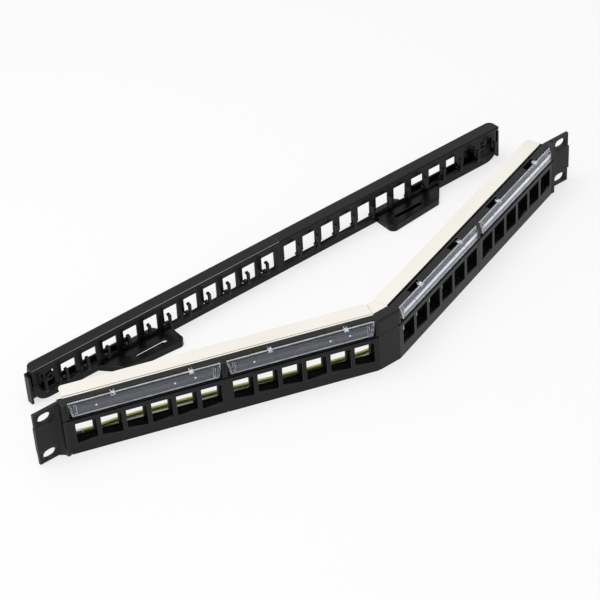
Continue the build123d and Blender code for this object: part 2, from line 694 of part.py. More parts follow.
def end_return():
    """Upper part of the bar's end, where the face turns back round a soft edge."""
    inner = BAR_REACH - BAR_WALL
    start = BAR_REACH - END_RETURN_LENGTH
    outline = plan(
        (start, 0), (BAR_REACH, 0), (BAR_REACH, END_RETURN),
        (inner, END_RETURN), (inner, BAR_WALL), (start, BAR_WALL),
    )
    outer_corner = outline.vertices().sort_by(Axis.Y)[:2].sort_by(Axis.X)[-1]
    outline = fillet(outer_corner, END_RETURN_ROUND)
    inner_corner = outline.vertices().sort_by_distance(Vertex(inner, BAR_WALL, 0))[0]
    outline = fillet(inner_corner, END_RETURN_ROUND - BAR_WALL)
    return upright(outline, END_RETURN_BOTTOM, BAR_HEIGHT - BAR_FLANGE)


def end_plate(length):
    """Plate behind the last windows, with a cheek that closes the bar's end."""
    outer = BAR_REACH + END_PLATE_PROUD
    front = END_PLATE_REAR - END_PLATE
    outline = plan(
        (BAR_REACH - length, front), (outer - END_PLATE, front), (outer - END_PLATE, END_PLATE_FRONT),
        (outer, END_PLATE_FRONT), (outer, END_PLATE_REAR), (BAR_REACH - length, END_PLATE_REAR),
    )
    corner = outline.vertices().sort_by(Axis.X)[-2:].sort_by(Axis.Y)[-1]
    return upright(fillet(corner, END_PLATE_ROUND), 0, END_PLATE_HEIGHT)


def screw_plate():
    """Plate and screw boss behind the last window."""
    last = window_centres()[-1]
    start = last + SCREW_PLATE_START
    plate = block(
        start, start + SCREW_PLATE_LENGTH, BAR_WALL, BAR_WALL + END_PLATE,
        SCREW_PLATE_BOTTOM, SCREW_PLATE_BOTTOM + SCREW_PLATE_HEIGHT,
    )
    centre = last + BOSS_OFFSET
    plate += rod_y(BOSS_RADIUS, centre, BOSS_HEIGHT, BOSS_FRONT, END_PLATE_REAR)
    return plate - rod_y(BOSS_BORE, centre, BOSS_HEIGHT, 0, END_PLATE_REAR - END_PLATE)


def bar_lip():
    """Lip along the top front edge, with a rounded nose and a sloping underside."""
    under = BAR_HEIGHT - BAR_LIP_DROP
    lip = plan(
        (-BAR_LIP, BAR_HEIGHT), (-BAR_LIP, under), (BAR_LIP_EDGE - BAR_LIP, under),
        (0, BAR_HEIGHT - BAR_FLANGE), (BAR_WALL, BAR_HEIGHT - BAR_FLANGE), (BAR_WALL, BAR_HEIGHT),
    )
    lip = along_x(lip, 0, BAR_REACH)
    nose = lip.edges().filter_by(Axis.X).group_by(Axis.Z)[-1].sort_by(Axis.Y)[0]
    return fillet(nose, BAR_LIP_ROUND)


def bar_pocket():
    """L-shaped pocket behind the outer windows."""
    back = POCKET_DEPTH - POCKET_WALL
    profile = plan(
        (BAR_WALL - POCKET_LAP, 0), (POCKET_DEPTH, 0), (POCKET_DEPTH, POCKET_HEIGHT),
        (back, POCKET_HEIGHT), (back, POCKET_WALL), (BAR_WALL - POCKET_LAP, POCKET_WALL),
    )
    return along_x(profile, POCKET_START, BAR_REACH - BAR_FACE_CORNER)


def cable_hook():
    """J-shaped hook in front of a window's lower outer corner."""
    inner = HOOK_THICKNESS
    tip = HOOK_TIP - HOOK_REACH
    profile = plan(
        (0, 0), (-HOOK_REACH, 0), (-HOOK_REACH, HOOK_RISE),
        (tip, HOOK_RISE + HOOK_TIP_RISE), (tip, HOOK_RISE - HOOK_TIP_FALL),
        (inner - HOOK_REACH, HOOK_RISE - inner), (inner - HOOK_REACH, inner), (0, inner),
    )
    hook = along_x(profile, HOOK_INNER, HOOK_INNER + HOOK_ROOT_WIDTH)
    lower = hook.edges().filter_by(Axis.X).group_by(Axis.Z)[0].sort_by(Axis.Y)[0]
    hook = fillet(lower, HOOK_ROUND)
    side = HOOK_INNER + HOOK_WIDTH
    taper = plan(
        (HOOK_INNER + HOOK_ROOT_WIDTH, 0), (side, inner - HOOK_REACH), (side, -HOOK_REACH - 1),
        (side + HOOK_ROOT_WIDTH, -HOOK_REACH - 1), (side + HOOK_ROOT_WIDTH, 0),
    )
    return hook - upright(taper, -1, 2 * HOOK_RISE)


def hooks():
    """One hook for each window of the right half."""
    hook = cable_hook()
    return [Pos(centre, 0, HOOK_ROOT) * hook for centre in window_centres()]


def foot_right():
    """Shallow foot with a skirt, a long slot and a tongue under the bar."""
    outline = plan(
        (0, 0), (0, -FOOT_DEPTH), (FOOT_FRONT_LENGTH, -FOOT_OUTER_DEPTH), (FOOT_REAR_LENGTH, 0)
    )
    outline = fillet(outline.vertices().sort_by(Axis.Y)[:2], FOOT_CORNER)
    body = upright(outline, 0, FOOT_HEIGHT)
    inside = offset(outline, amount=-FOOT_WALL, kind=Kind.INTERSECTION)
    body -= upright(inside, -1, FOOT_HEIGHT - FOOT_WALL)
    slot = Pos(FOOT_SLOT_START + FOOT_SLOT_LENGTH / 2, -FOOT_SLOT_DEPTH)
    slot = slot * SlotOverall(FOOT_SLOT_LENGTH, FOOT_SLOT_WIDTH)
    body -= upright(slot, 0, FOOT_HEIGHT + 1)
    tongue = block(
        TONGUE_START, TONGUE_START + TONGUE_WIDTH, -FOOT_WALL, TONGUE_REACH, 0, TONGUE_THICKNESS
    )
    tongue = fillet(tongue.edges().filter_by(Axis.Z).group_by(Axis.Y)[-1], TONGUE_CORNER)
    return body + tongue


def on_bar(shape, side):
    """Place a shape of the right half on either half of the bar."""
    turned = shape if side > 0 else mirrored(shape)
    return Pos(BAR_CENTRE, BAR_FACE, -TOP) * Rot(0, 0, BAR_YAW) * turned


# ---- Assembly ----
def main():
    """Write every node."""
    os.makedirs("parts", exist_ok=True)
    module = port_module()
    cover = label_cover()
    strip = label_strip()
    number = 0
    for wing in (LEFT_WING, RIGHT_WING):
        for index in range(MODULES_PER_WING):
            number += 1
            place = wing * Pos(index * MODULE_LENGTH, 0, 0)
            save(f"port_module_{number}", place * module)
            save(f"label_cover_{number}", place * cover)
            save(f"label_strip_{number}", place * strip)

    sheet = tray()
    save("tray_right", RIGHT_WING * sheet)
    save("tray_left", mirrored(RIGHT_WING * sheet))
    ear = ear_right()
    save("ear_right", ear)
    save("ear_left", mirrored(ear))
    save("nose_cover", nose_cover())
    save("centre_bracket", centre_bracket())

    lug_rear = WEB_REAR + LUG_THICKNESS
    last = module_screw_places(MODULES_PER_WING - 1)[2:]
    first = module_screw_places(0)[:2]
    between = module_screw_places(0)[2:] + module_screw_places(MODULES_PER_WING - 1)[:2]
    right = screws(last, lug_rear, RIGHT_WING)
    save("ear_screws", Compound(children=right + [mirrored(screw) for screw in right]))
    right = screws(first, WEB_REAR + SHEET, RIGHT_WING)
    save("bracket_screws", Compound(children=right + [mirrored(screw) for screw in right]))
    right = screws(between, WEB_REAR, RIGHT_WING)
    save("module_screws", Compound(children=right + [mirrored(screw) for screw in right]))

    far = WING_LENGTH - STUD_INSET
    save("earth_lug_left", earth_lug(LEFT_WING, STUD_INSET, 0))
    save("earth_lug_right", earth_lug(RIGHT_WING, far, 180))
    save("earth_studs", Compound(children=[earth_stud(LEFT_WING, STUD_INSET), earth_stud(RIGHT_WING, far)]))
    save("earth_nuts", Compound(children=[earth_nut(LEFT_WING, STUD_INSET), earth_nut(RIGHT_WING, far)]))
    save("earth_wire", earth_wire())

    foot = foot_right()
    halves = (("right", 1, FOOT_RIGHT, END_PLATE_RIGHT), ("left", -1, FOOT_LEFT, END_PLATE_LEFT))
    for name, side, inner, plate_length in halves:
        save(f"cable_bar_{name}", on_bar(bar_half(inner, plate_length), side))
        save(f"cable_hooks_{name}", Compound(children=[on_bar(hook, side) for hook in hooks()]))
        save(f"bar_foot_{name}", on_bar(Pos(inner, 0, 0) * foot, side))


main()
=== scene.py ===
# %% [markdown]
# # Angled keystone patch panel with its rear cable bar
# The panel is a rack unit of black mouldings on two bent steel trays. Two straight wings meet in a
# blunt nose, each wing carries two modules of six keystone ports, and every module has a clear label
# cover hinged along its top edge. A black cable bar with a row of windows and hooks lies behind it.
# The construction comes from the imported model, so this lesson starts by loading it as a fixed frame,
# and then it only adds what the eye sees: finishes, small rounded edges, screw drives and light.

# %% Load the frame
import json
import math
from collections import namedtuple

import bmesh
import bpy
from mathutils import Matrix, Vector

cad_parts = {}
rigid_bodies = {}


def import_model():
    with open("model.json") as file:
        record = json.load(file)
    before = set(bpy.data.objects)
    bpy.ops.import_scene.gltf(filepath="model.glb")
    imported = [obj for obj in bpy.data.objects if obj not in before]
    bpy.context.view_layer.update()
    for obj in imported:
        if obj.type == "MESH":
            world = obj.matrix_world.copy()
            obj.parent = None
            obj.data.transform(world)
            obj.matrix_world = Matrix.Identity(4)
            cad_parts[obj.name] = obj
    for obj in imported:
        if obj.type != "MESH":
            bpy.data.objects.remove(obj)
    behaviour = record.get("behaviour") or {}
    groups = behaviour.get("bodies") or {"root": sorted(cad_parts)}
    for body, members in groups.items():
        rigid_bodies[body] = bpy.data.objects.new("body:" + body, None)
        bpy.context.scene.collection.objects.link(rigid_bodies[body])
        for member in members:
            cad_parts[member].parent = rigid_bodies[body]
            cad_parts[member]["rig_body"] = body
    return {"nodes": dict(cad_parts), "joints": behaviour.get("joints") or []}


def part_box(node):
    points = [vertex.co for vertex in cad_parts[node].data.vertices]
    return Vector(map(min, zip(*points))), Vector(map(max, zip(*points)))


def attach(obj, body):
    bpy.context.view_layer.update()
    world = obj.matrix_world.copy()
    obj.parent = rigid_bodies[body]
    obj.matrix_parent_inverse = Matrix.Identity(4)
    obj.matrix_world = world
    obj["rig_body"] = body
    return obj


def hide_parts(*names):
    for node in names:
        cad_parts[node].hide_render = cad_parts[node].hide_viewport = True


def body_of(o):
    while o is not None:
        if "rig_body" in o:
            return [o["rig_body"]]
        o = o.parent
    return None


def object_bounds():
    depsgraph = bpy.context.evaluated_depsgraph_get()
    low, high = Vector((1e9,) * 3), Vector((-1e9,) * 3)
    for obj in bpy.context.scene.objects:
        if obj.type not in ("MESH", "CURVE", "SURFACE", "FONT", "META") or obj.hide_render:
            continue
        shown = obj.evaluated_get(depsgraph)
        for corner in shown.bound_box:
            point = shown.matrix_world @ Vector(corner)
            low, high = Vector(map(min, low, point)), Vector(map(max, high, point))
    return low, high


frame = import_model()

MM = 0.001
WHITE = (1, 1, 1, 1)
cad_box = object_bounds()
nodes = frame["nodes"]
low, high = Vector(cad_box[0]), Vector(cad_box[1])
print("overall size in mm:", [round(side / MM, 1) for side in high - low])

# %% [markdown]
# ## Camera
# A long lens from the left, well above the panel, shows both wings and the bar lying behind them with
# little perspective. A camera looks along its own -Z, so it is tilted up from straight down, turned to
# its azimuth, and rolled a little about the line of sight. It is placed by walking back from the point
# that it looks at, so that the point, the direction and the distance can each be changed alone.

# %% Camera
VIEW_AZIMUTH = 35.812
VIEW_ELEVATION = 38.982
VIEW_ROLL = -3.816
VIEW_DISTANCE = 1.5876
LENS = 134.68
SENSOR_WIDTH = 36
CLIP_END = 50
AIM = Vector((-18.7, -2.5, 0.0)) * MM


def view_rotation(azimuth, elevation, roll):
    """Rotation of a camera that looks down at an elevation, along an azimuth from +Y."""
    turn = Matrix.Rotation(math.radians(-azimuth), 3, "Z")
    tilt = Matrix.Rotation(math.radians(90 - elevation), 3, "X")
    return turn @ tilt @ Matrix.Rotation(math.radians(roll), 3, "Z")


rotation = view_rotation(VIEW_AZIMUTH, VIEW_ELEVATION, VIEW_ROLL)
backward = rotation @ Vector((0, 0, 1))
bpy.ops.object.camera_add(location=AIM + backward * VIEW_DISTANCE, rotation=rotation.to_euler())
camera = bpy.context.object
camera.name = "camera"
camera.data.lens = LENS
camera.data.sensor_width = SENSOR_WIDTH
camera.data.clip_end = CLIP_END
camera.data.dof.use_dof = False
bpy.context.scene.camera = camera
print("camera at", [round(value, 3) for value in camera.location])

# %% [markdown]
# ## Light and floor
# Black satin plastic shows what it reflects more than its own colour, so the light has to be a large
# soft surround, as in a light tent. The world gives that surround: to the eye and in every reflection
# it is plain white, and as a light it is dimmer, so that the lamp can add a direction. That lamp is one
# big softbox almost overhead and a little to the left, and the top edges of the mouldings catch it.
# The view transform is Standard, so a colour renders about as it is written.

# %% World and lamps
SURROUND = 0.60
KEY_PLACE = (-0.45, 0.05, 1.35)
KEY_POWER = 11.0
KEY_SIZE = 1.2

scene = bpy.context.scene
scene.view_settings.view_transform = "Standard"
world = bpy.data.worlds.new("studio_surround")
scene.world = world
world.use_nodes = True
world_nodes, world_links = world.node_tree.nodes, world.node_tree.links
world_nodes.clear()
world_output = world_nodes.new("ShaderNodeOutputWorld")


def add_background(strength):
    """White background of the world, at a strength."""
    background = world_nodes.new("ShaderNodeBackground")
    background.inputs["Color"].default_value = WHITE
    background.inputs["Strength"].default_value = strength
    return background.outputs[0]


def add_seen_rays(tree_nodes, links):
    """1 for rays of the eye, of a reflection or through glass, and 0 for rays that carry light."""
    path = tree_nodes.new("ShaderNodeLightPath")
    total = path.outputs["Is Camera Ray"]
    for kind in ("Is Glossy Ray", "Is Transmission Ray"):
        larger = tree_nodes.new("ShaderNodeMath")
        larger.operation = "MAXIMUM"
        links.new(total, larger.inputs[0])
        links.new(path.outputs[kind], larger.inputs[1])
        total = larger.outputs[0]
    return total


def add_mix(tree_nodes, links, share, first, second, surface):
    """Two shaders mixed on to a surface socket; the share is the second one's."""
    mix = tree_nodes.new("ShaderNodeMixShader")
    links.new(share, mix.inputs["Fac"])
    links.new(first, mix.inputs[1])
    links.new(second, mix.inputs[2])
    links.new(mix.outputs[0], surface)


lit, seen = add_background(SURROUND), add_background(1.0)
seen_rays = add_seen_rays(world_nodes, world_links)
add_mix(world_nodes, world_links, seen_rays, lit, seen, world_output.inputs["Surface"])


def add_softbox(name, location, target, size, power):
    """Square area lamp that faces a target."""
    facing = (Vector(location) - Vector(target)).to_track_quat("Z", "Y").to_euler()
    bpy.ops.object.light_add(type="AREA", location=location, rotation=facing)
    lamp = bpy.context.object
    lamp.name = name
    lamp.data.shape = "SQUARE"
    lamp.data.size = size
    lamp.data.energy = power


add_softbox("key_softbox", KEY_PLACE, (0, 0, 0), KEY_SIZE, KEY_POWER)

# %% [markdown]
# The floor is a plain pale sheet. To the eye and in reflections it is more than half plain white, so the
# ground melts into the background, and light that bounces off it meets ordinary paper and comes back in a
# normal amount. The other part stays a diffuse surface and keeps the soft shadow of the panel.

# %% Floor
FLOOR_SIZE = 30.0
FLOOR_GAP = 0.05 * MM
SEEN_WHITE = 0.66
PAPER_WHITE = (0.94, 0.94, 0.94, 1)

bpy.ops.object.select_all(action="DESELECT")
bpy.ops.mesh.primitive_plane_add(size=FLOOR_SIZE, location=(0, 0, low.z - FLOOR_GAP))
floor = bpy.context.object
floor.name = "floor_sheet"
paper = bpy.data.materials.new("floor_paper")
paper.use_nodes = True
paper_nodes, paper_links = paper.node_tree.nodes, paper.node_tree.links
paper_shader = paper_nodes["Principled BSDF"]
paper_shader.inputs["Roughness"].default_value = 1.0
paper_shader.inputs["Specular IOR Level"].default_value = 0.0
paper_shader.inputs["Base Color"].default_value = PAPER_WHITE
paper_glow = paper_nodes.new("ShaderNodeEmission")
paper_glow.inputs["Strength"].default_value = 1.0
paper_share = paper_nodes.new("ShaderNodeMath")
paper_share.operation = "MULTIPLY"
paper_share.inputs[1].default_value = SEEN_WHITE
paper_links.new(add_seen_rays(paper_nodes, paper_links), paper_share.inputs[0])
paper_surface = paper_nodes["Material Output"].inputs["Surface"]
add_mix(
    paper_nodes, paper_links, paper_share.outputs[0],
    paper_shader.outputs[0], paper_glow.outputs[0], paper_surface,
)
floor.data.materials.append(paper)
print("floor at z =", round(floor.location.z / MM, 2), "mm")

# %% [markdown]
# ## Finishes
# All finishes are node materials on Object coordinates, so they stay with the pieces when a joint moves.
# The helpers below are what every finish is made of. The first makes the material and sets what is the
# same all over straight on the shader's sockets. The others each add one texture or drive one socket.

# %% Finish helpers
def srgb(red, green, blue):
    """Linear colour from the 0-255 values that a colour picker shows."""
    def linear(value):
        value = value / 255
        return value / 12.92 if value <= 0.04045 else ((value + 0.055) / 1.055) ** 2.4
    return (linear(red), linear(green), linear(blue), 1)


def new_finish(name, **constants):
    """Node material with constant sockets set; returns material, nodes, links and shader."""
    material = bpy.data.materials.new(name)
    material.use_nodes = True
    shader = material.node_tree.nodes["Principled BSDF"]
    for socket, value in constants.items():
        shader.inputs[socket.replace("_", " ")].default_value = value
    return material, material.node_tree.nodes, material.node_tree.links, shader


def add_noise(tree, links, scale, detail=4.0, roughness=0.5, stretch=(1, 1, 1)):
    """Noise on Object coordinates, with features of about 1/scale metres."""
    place = tree.new("ShaderNodeTexCoord")
    mapping = tree.new("ShaderNodeMapping")
    mapping.inputs["Scale"].default_value = stretch
    noise = tree.new("ShaderNodeTexNoise")
    noise.inputs["Scale"].default_value = scale
    noise.inputs["Detail"].default_value = detail
    noise.inputs["Roughness"].default_value = roughness
    links.new(place.outputs["Object"], mapping.inputs["Vector"])
    links.new(mapping.outputs["Vector"], noise.inputs["Vector"])
    return noise.outputs["Fac"]


def add_colour(tree, links, factor, stops, shader):
    """Base colour that follows a factor through (position, picker colour) stops."""
    ramp = tree.new("ShaderNodeValToRGB")
    elements = ramp.color_ramp.elements
    for element, (position, colour) in zip(elements, (stops[0], stops[-1])):
        element.position = position
        element.color = srgb(*colour)
    for position, colour in stops[1:-1]:
        elements.new(position).color = srgb(*colour)
    links.new(factor, ramp.inputs["Fac"])
    links.new(ramp.outputs["Color"], shader.inputs["Base Color"])


def add_range(tree, links, factor, lowest, highest):
    """Map a 0-1 factor on to a range."""
    node = tree.new("ShaderNodeMapRange")
    node.inputs["To Min"].default_value = lowest
    node.inputs["To Max"].default_value = highest
    links.new(factor, node.inputs["Value"])
    return node.outputs["Result"]


def add_roughness(tree, links, factor, least, most, shader):
    """Roughness that follows a factor between two values."""
    links.new(add_range(tree, links, factor, least, most), shader.inputs["Roughness"])


def add_bump(tree, links, height, strength, distance, shader):
    """Bump from a height, on to the shader's normal."""
    bump = tree.new("ShaderNodeBump")
    bump.inputs["Strength"].default_value = strength
    bump.inputs["Distance"].default_value = distance
    links.new(height, bump.inputs["Height"])
    links.new(bump.outputs["Normal"], shader.inputs["Normal"])


print("picker value 128 as linear light:", round(srgb(128, 128, 128)[0], 3))

# %% [markdown]
# ### Moulded black plastic
# The bezels, ears and nose are black ABS from a tool with a fine spark-eroded texture. It is satin: the
# texture spreads each reflection. A fine bump at about a third of a millimetre gives that, a wide cloudy
# noise changes the roughness a little as handling does, and a third one lightens the black in places
# where the skin of the moulding has been rubbed. The rounded edges take a finish of their own, a little
# paler and glossier than the faces between them: a painted highlight for the line of light an edge catches.

# %% Moulded black plastic
HANDLING = 0.07
SPARK_DEPTH = 0.02 * MM


def black_moulding(name, dark, light, roughness, grain, gloss=0.26):
    """Satin black plastic; dark and light are picker values, grain is the bump's strength."""
    material, tree, links, shader = new_finish(name, IOR=1.49, Specular_IOR_Level=gloss)
    rubbed = add_noise(tree, links, scale=14.0, detail=3.0)
    add_colour(tree, links, rubbed, [(0.30, dark), (0.72, light)], shader)
    smear = add_noise(tree, links, scale=45.0, detail=5.0, roughness=0.6)
    add_roughness(tree, links, smear, roughness - HANDLING, roughness + HANDLING, shader)
    speck = add_noise(tree, links, scale=3000.0, detail=2.0, roughness=0.6)
    add_bump(tree, links, speck, grain, SPARK_DEPTH, shader)
    return material


bezel_black = black_moulding(
    "bezel_black_moulding", dark=(9, 9, 10), light=(15, 15, 16), roughness=0.40, grain=0.35)
# Painted highlight: the rounds of the bezels' edges are paler and glossier than the faces.
bezel_edge_highlight = black_moulding(
    "bezel_rubbed_edge", dark=(44, 44, 46), light=(70, 70, 72), roughness=0.26, grain=0.15)
# Painted shade: near-black and almost without shine, for the ports, the channel under the covers, the right
# wing's slots and the right tray's hem.
port_painted_shade = black_moulding(
    "port_wall_matt_black", dark=(4, 4, 5), light=(8, 8, 9), roughness=0.8, grain=0.5, gloss=0.05)
bar_black = black_moulding(
    "bar_black_moulding", dark=(6, 6, 7), light=(10, 10, 11), roughness=0.36, grain=0.25, gloss=0.2)
# Painted highlight: the rounds of the bar's edges are paler than its faces.
bar_edge_highlight = black_moulding(
    "bar_rubbed_edge", dark=(30, 30, 31), light=(48, 48, 48), roughness=0.24, grain=0.1)
# Painted highlight: the pale crest of the bend on the bar's left half.
bar_crest_highlight = black_moulding(
    "bar_rubbed_lip", dark=(96, 94, 88), light=(140, 137, 128), roughness=0.24, grain=0.1, gloss=0.5)
mouldings = (bezel_black, bezel_edge_highlight, port_painted_shade, bar_black, bar_edge_highlight, bar_crest_highlight)
print("black mouldings:", [finish.name for finish in mouldings])

# %% [markdown]
# ### Painted trays
# The two bent trays and the bracket between them are steel with a cream powder coat. A powder coat has a
# shallow orange peel of about two millimetres, a low gloss, and a slightly warmer tone where it lies
# thinner. The bump is kept very low, because the sheet reads as flat from a distance. The rounds of the
# edges are a little paler and glossier, as a painted highlight. The groove along the front of the left
# tray is brown, as a painted shade, and the hinge slots of the left wing are brown at the back. The front
# of the web, which the mouldings cover, and the walls of its cut-outs are dark grey: the shade in the
# ports, painted.

# %% Cream powder coat
PEEL_STRENGTH = 0.3
PEEL_DEPTH = 0.03 * MM


def powder_coat(name, thin, thick, glossy, matt):
    """Powder coat with a soft orange peel; thin and thick are picker values of its tone."""
    material, tree, links, shader = new_finish(name, IOR=1.5, Specular_IOR_Level=0.4)
    cloud = add_noise(tree, links, scale=9.0, detail=3.0)
    add_colour(tree, links, cloud, [(0.30, thin), (0.70, thick)], shader)
    smear = add_noise(tree, links, scale=60.0, detail=4.0)
    add_roughness(tree, links, smear, glossy, matt, shader)
    peel = add_noise(tree, links, scale=520.0, detail=1.0, roughness=0.4)
    add_bump(tree, links, peel, PEEL_STRENGTH, PEEL_DEPTH, shader)
    return material


cream_coat = powder_coat(
    "tray_cream_coat", thin=(236, 231, 222), thick=(243, 240, 233), glossy=0.38, matt=0.52)
# Painted highlight: the rounds of the trays' edges are paler and glossier.
cream_edge_highlight = powder_coat(
    "tray_coat_on_edges", thin=(242, 239, 232), thick=(248, 246, 241), glossy=0.30, matt=0.44)
# Painted shade: brown, for the shade in the groove of the left tray.
groove_painted_shade = powder_coat(
    "tray_groove_dust", thin=(96, 76, 58), thick=(138, 116, 92), glossy=0.6, matt=0.8)
# Brown on the rear walls of the left wing's hinge slots.
rear_slot_brown = powder_coat(
    "slot_brown_dust", thin=(66, 57, 48), thick=(104, 91, 79), glossy=0.7, matt=0.9)
# Painted shade: dark grey, for the shade on the web behind the ports.
web_painted_shade = powder_coat(
    "tray_thin_coat_in_cuts", thin=(52, 50, 47), thick=(84, 81, 76), glossy=0.5, matt=0.7)
print("coats:", [coat.name for coat in (cream_coat, cream_edge_highlight, groove_painted_shade, rear_slot_brown, web_painted_shade)])

# %% [markdown]
# ### Clear label covers
# The covers are injection-moulded clear polystyrene. They are thin, so what makes them visible is the
# reflection on their folds and the bright cut edges. A glass shader would bend every ray and keep the lamp
# from the card behind, which only adds noise in a wall this thin. Here the wall lets light straight
# through, and its share of mirror grows with the slant, as Fresnel's law says: from a few per cent face
# on to most of the light edge on. Layer Weight's Facing gives the slant, and its third power stands for
# the law, a little softer than Schlick's fifth because a sheet mirrors on both of its sides. Faint wipe
# marks change the roughness, and a thin haze raises the least share.
# The fold along a cover goes further: looked at steeply it hides, and at a shallow angle it is one bright
# line. The cut edges and the hinge tabs are pale and mostly opaque: a painted highlight for the light that
# they gather from the whole sheet.

# %% Clear cover plastic
MIRROR_AT_GRAZING = 0.8
MIRROR_POWER = 3.0
HAZE_LEAST = 0.018
HAZE_MOST = 0.042
FOLD_HIDES = 0.18
FOLD_SHINES = 0.55
FOLD_LEAST_SHARE = 0.06
FOLD_MOST_SHARE = 0.95


def add_slant(tree):
    """Slant of the surface to the eye: 0 face on, 1 edge on."""
    weight = tree.new("ShaderNodeLayerWeight")
    weight.inputs["Blend"].default_value = 0.5
    return weight.outputs["Facing"]


def clear_plastic(name):
    """Thin clear moulding: see-through, with a mirror share that follows the angle."""
    material, tree, links, shader = new_finish(name, Metallic=1.0, Base_Color=(0.86, 0.90, 0.98, 1))
    law = tree.new("ShaderNodeMath")
    law.operation = "POWER"
    links.new(add_slant(tree), law.inputs[0])
    law.inputs[1].default_value = MIRROR_POWER
    share = tree.new("ShaderNodeMapRange")
    share.inputs["To Max"].default_value = MIRROR_AT_GRAZING
    links.new(law.outputs[0], share.inputs["Value"])
    haze = add_noise(tree, links, scale=30.0, detail=5.0, roughness=0.6, stretch=(0.4, 1, 1))
    links.new(add_range(tree, links, haze, HAZE_LEAST, HAZE_MOST), share.inputs["To Min"])
    links.new(share.outputs["Result"], shader.inputs["Alpha"])
    wipe = add_noise(tree, links, scale=22.0, detail=5.0, roughness=0.6, stretch=(0.3, 1, 1))
    add_roughness(tree, links, wipe, 0.05, 0.16, shader)
    return material


def clear_edge(name, closed_share, dim, bright):
    """Edge of the cover, pale and mostly opaque: a painted highlight for the light it gathers from the sheet.
    """
    material, tree, links, shader = new_finish(name, IOR=1.49, Alpha=closed_share)
    cloud = add_noise(tree, links, scale=160.0, detail=3.0)
    add_colour(tree, links, cloud, [(0.35, dim), (0.65, bright)], shader)
    add_roughness(tree, links, cloud, 0.12, 0.3, shader)
    return material


def clear_fold(name, dim, bright):
    """Bend of the sheet: it hides at a steep look and lights up as a bright line at a shallow one."""
    material, tree, links, shader = new_finish(name, Metallic=1.0)
    share = tree.new("ShaderNodeMapRange")
    share.interpolation_type = "SMOOTHSTEP"
    share.inputs["From Min"].default_value = FOLD_HIDES
    share.inputs["From Max"].default_value = FOLD_SHINES
    share.inputs["To Min"].default_value = FOLD_LEAST_SHARE
    share.inputs["To Max"].default_value = FOLD_MOST_SHARE
    links.new(add_slant(tree), share.inputs["Value"])
    links.new(share.outputs["Result"], shader.inputs["Alpha"])
    cloud = add_noise(tree, links, scale=90.0, detail=3.0)
    add_colour(tree, links, cloud, [(0.35, dim), (0.65, bright)], shader)
    add_roughness(tree, links, cloud, 0.15, 0.3, shader)
    return material


cover_clear = clear_plastic("cover_clear_plastic")
cover_fold = clear_fold("cover_bright_fold", dim=(224, 228, 236), bright=(246, 248, 252))
# Painted highlight: the cut edges and the hinge tabs are pale and mostly opaque.
cover_edge_highlight = clear_edge("cover_bright_edge", 0.72, dim=(188, 194, 204), bright=(232, 236, 242))
cover_painted_glow = clear_edge("cover_glowing_boss", 0.92, dim=(226, 230, 236), bright=(248, 250, 252))
print("cover:", [finish.name for finish in (cover_clear, cover_fold, cover_edge_highlight, cover_painted_glow)])

# %% [markdown]
# ### Label card, steel, tinned copper and wire
# The blank label strips are grey card with paper fibres. Screws, studs and nuts are zinc-plated steel,
# the lugs are tinned copper, and the earth wire has a dark green jacket with a yellow band along its top.
# The green is darker towards the underside, as a painted shade. The band and that shade follow the
# height of the wire, so they run along every bend without an unwrapped map.

# %% Card, metals and wire
FIBRE_DEPTH = 0.02 * MM
TURNING_DEPTH = 0.01 * MM
JACKET_DEPTH = 0.02 * MM


def label_card(name, dark, light):
    """Grey card with a paper fibre."""
    material, tree, links, shader = new_finish(name, Specular_IOR_Level=0.2)
    fibre = add_noise(tree, links, scale=900.0, detail=6.0, roughness=0.7, stretch=(0.25, 1, 1))
    add_colour(tree, links, fibre, [(0.3, dark), (0.7, light)], shader)
    add_roughness(tree, links, fibre, 0.75, 0.95, shader)
    add_bump(tree, links, fibre, 0.2, FIBRE_DEPTH, shader)
    return material


def plated_metal(name, dull, bright, roughness):
    """Plated metal with a clouded plating and fine turning marks."""
    material, tree, links, shader = new_finish(name, Metallic=1.0)
    cloud = add_noise(tree, links, scale=260.0, detail=4.0)
    add_colour(tree, links, cloud, [(0.3, dull), (0.7, bright)], shader)
    add_roughness(tree, links, cloud, roughness - 0.08, roughness + 0.1, shader)
    mark = add_noise(tree, links, scale=2600.0, detail=2.0)
    add_bump(tree, links, mark, 0.2, TURNING_DEPTH, shader)
    return material


def wire_jacket(name, middle, radius):
    """Dark green jacket whose top is a yellow band, with the green darker towards the bottom as painted
    shade.
    """
    material, tree, links, shader = new_finish(name, IOR=1.5)
    place = tree.new("ShaderNodeTexCoord")
    split = tree.new("ShaderNodeSeparateXYZ")
    links.new(place.outputs["Object"], split.inputs[0])
    height = tree.new("ShaderNodeMapRange")
    height.inputs["From Min"].default_value = middle - radius
    height.inputs["From Max"].default_value = middle + radius
    links.new(split.outputs["Z"], height.inputs["Value"])
    # Painted shade: the green darkens towards the underside.
    green = [(0.0, (6, 40, 36)), (0.80, (12, 74, 62))]
    yellow = [(0.86, (170, 166, 40)), (1.0, (196, 192, 60))]
    add_colour(tree, links, height.outputs["Result"], green + yellow, shader)
    smear = add_noise(tree, links, scale=300.0, detail=4.0)
    add_roughness(tree, links, smear, 0.32, 0.48, shader)
    add_bump(tree, links, smear, 0.1, JACKET_DEPTH, shader)
    return material


wire_low, wire_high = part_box("earth_wire")
wire_radius = (wire_high.z - wire_low.z) / 2
grey_card = label_card("label_grey_card", dark=(72, 73, 79), light=(78, 79, 85))
zinc_steel = plated_metal(
    "screw_zinc_plate", dull=(176, 178, 180), bright=(206, 208, 210), roughness=0.3)
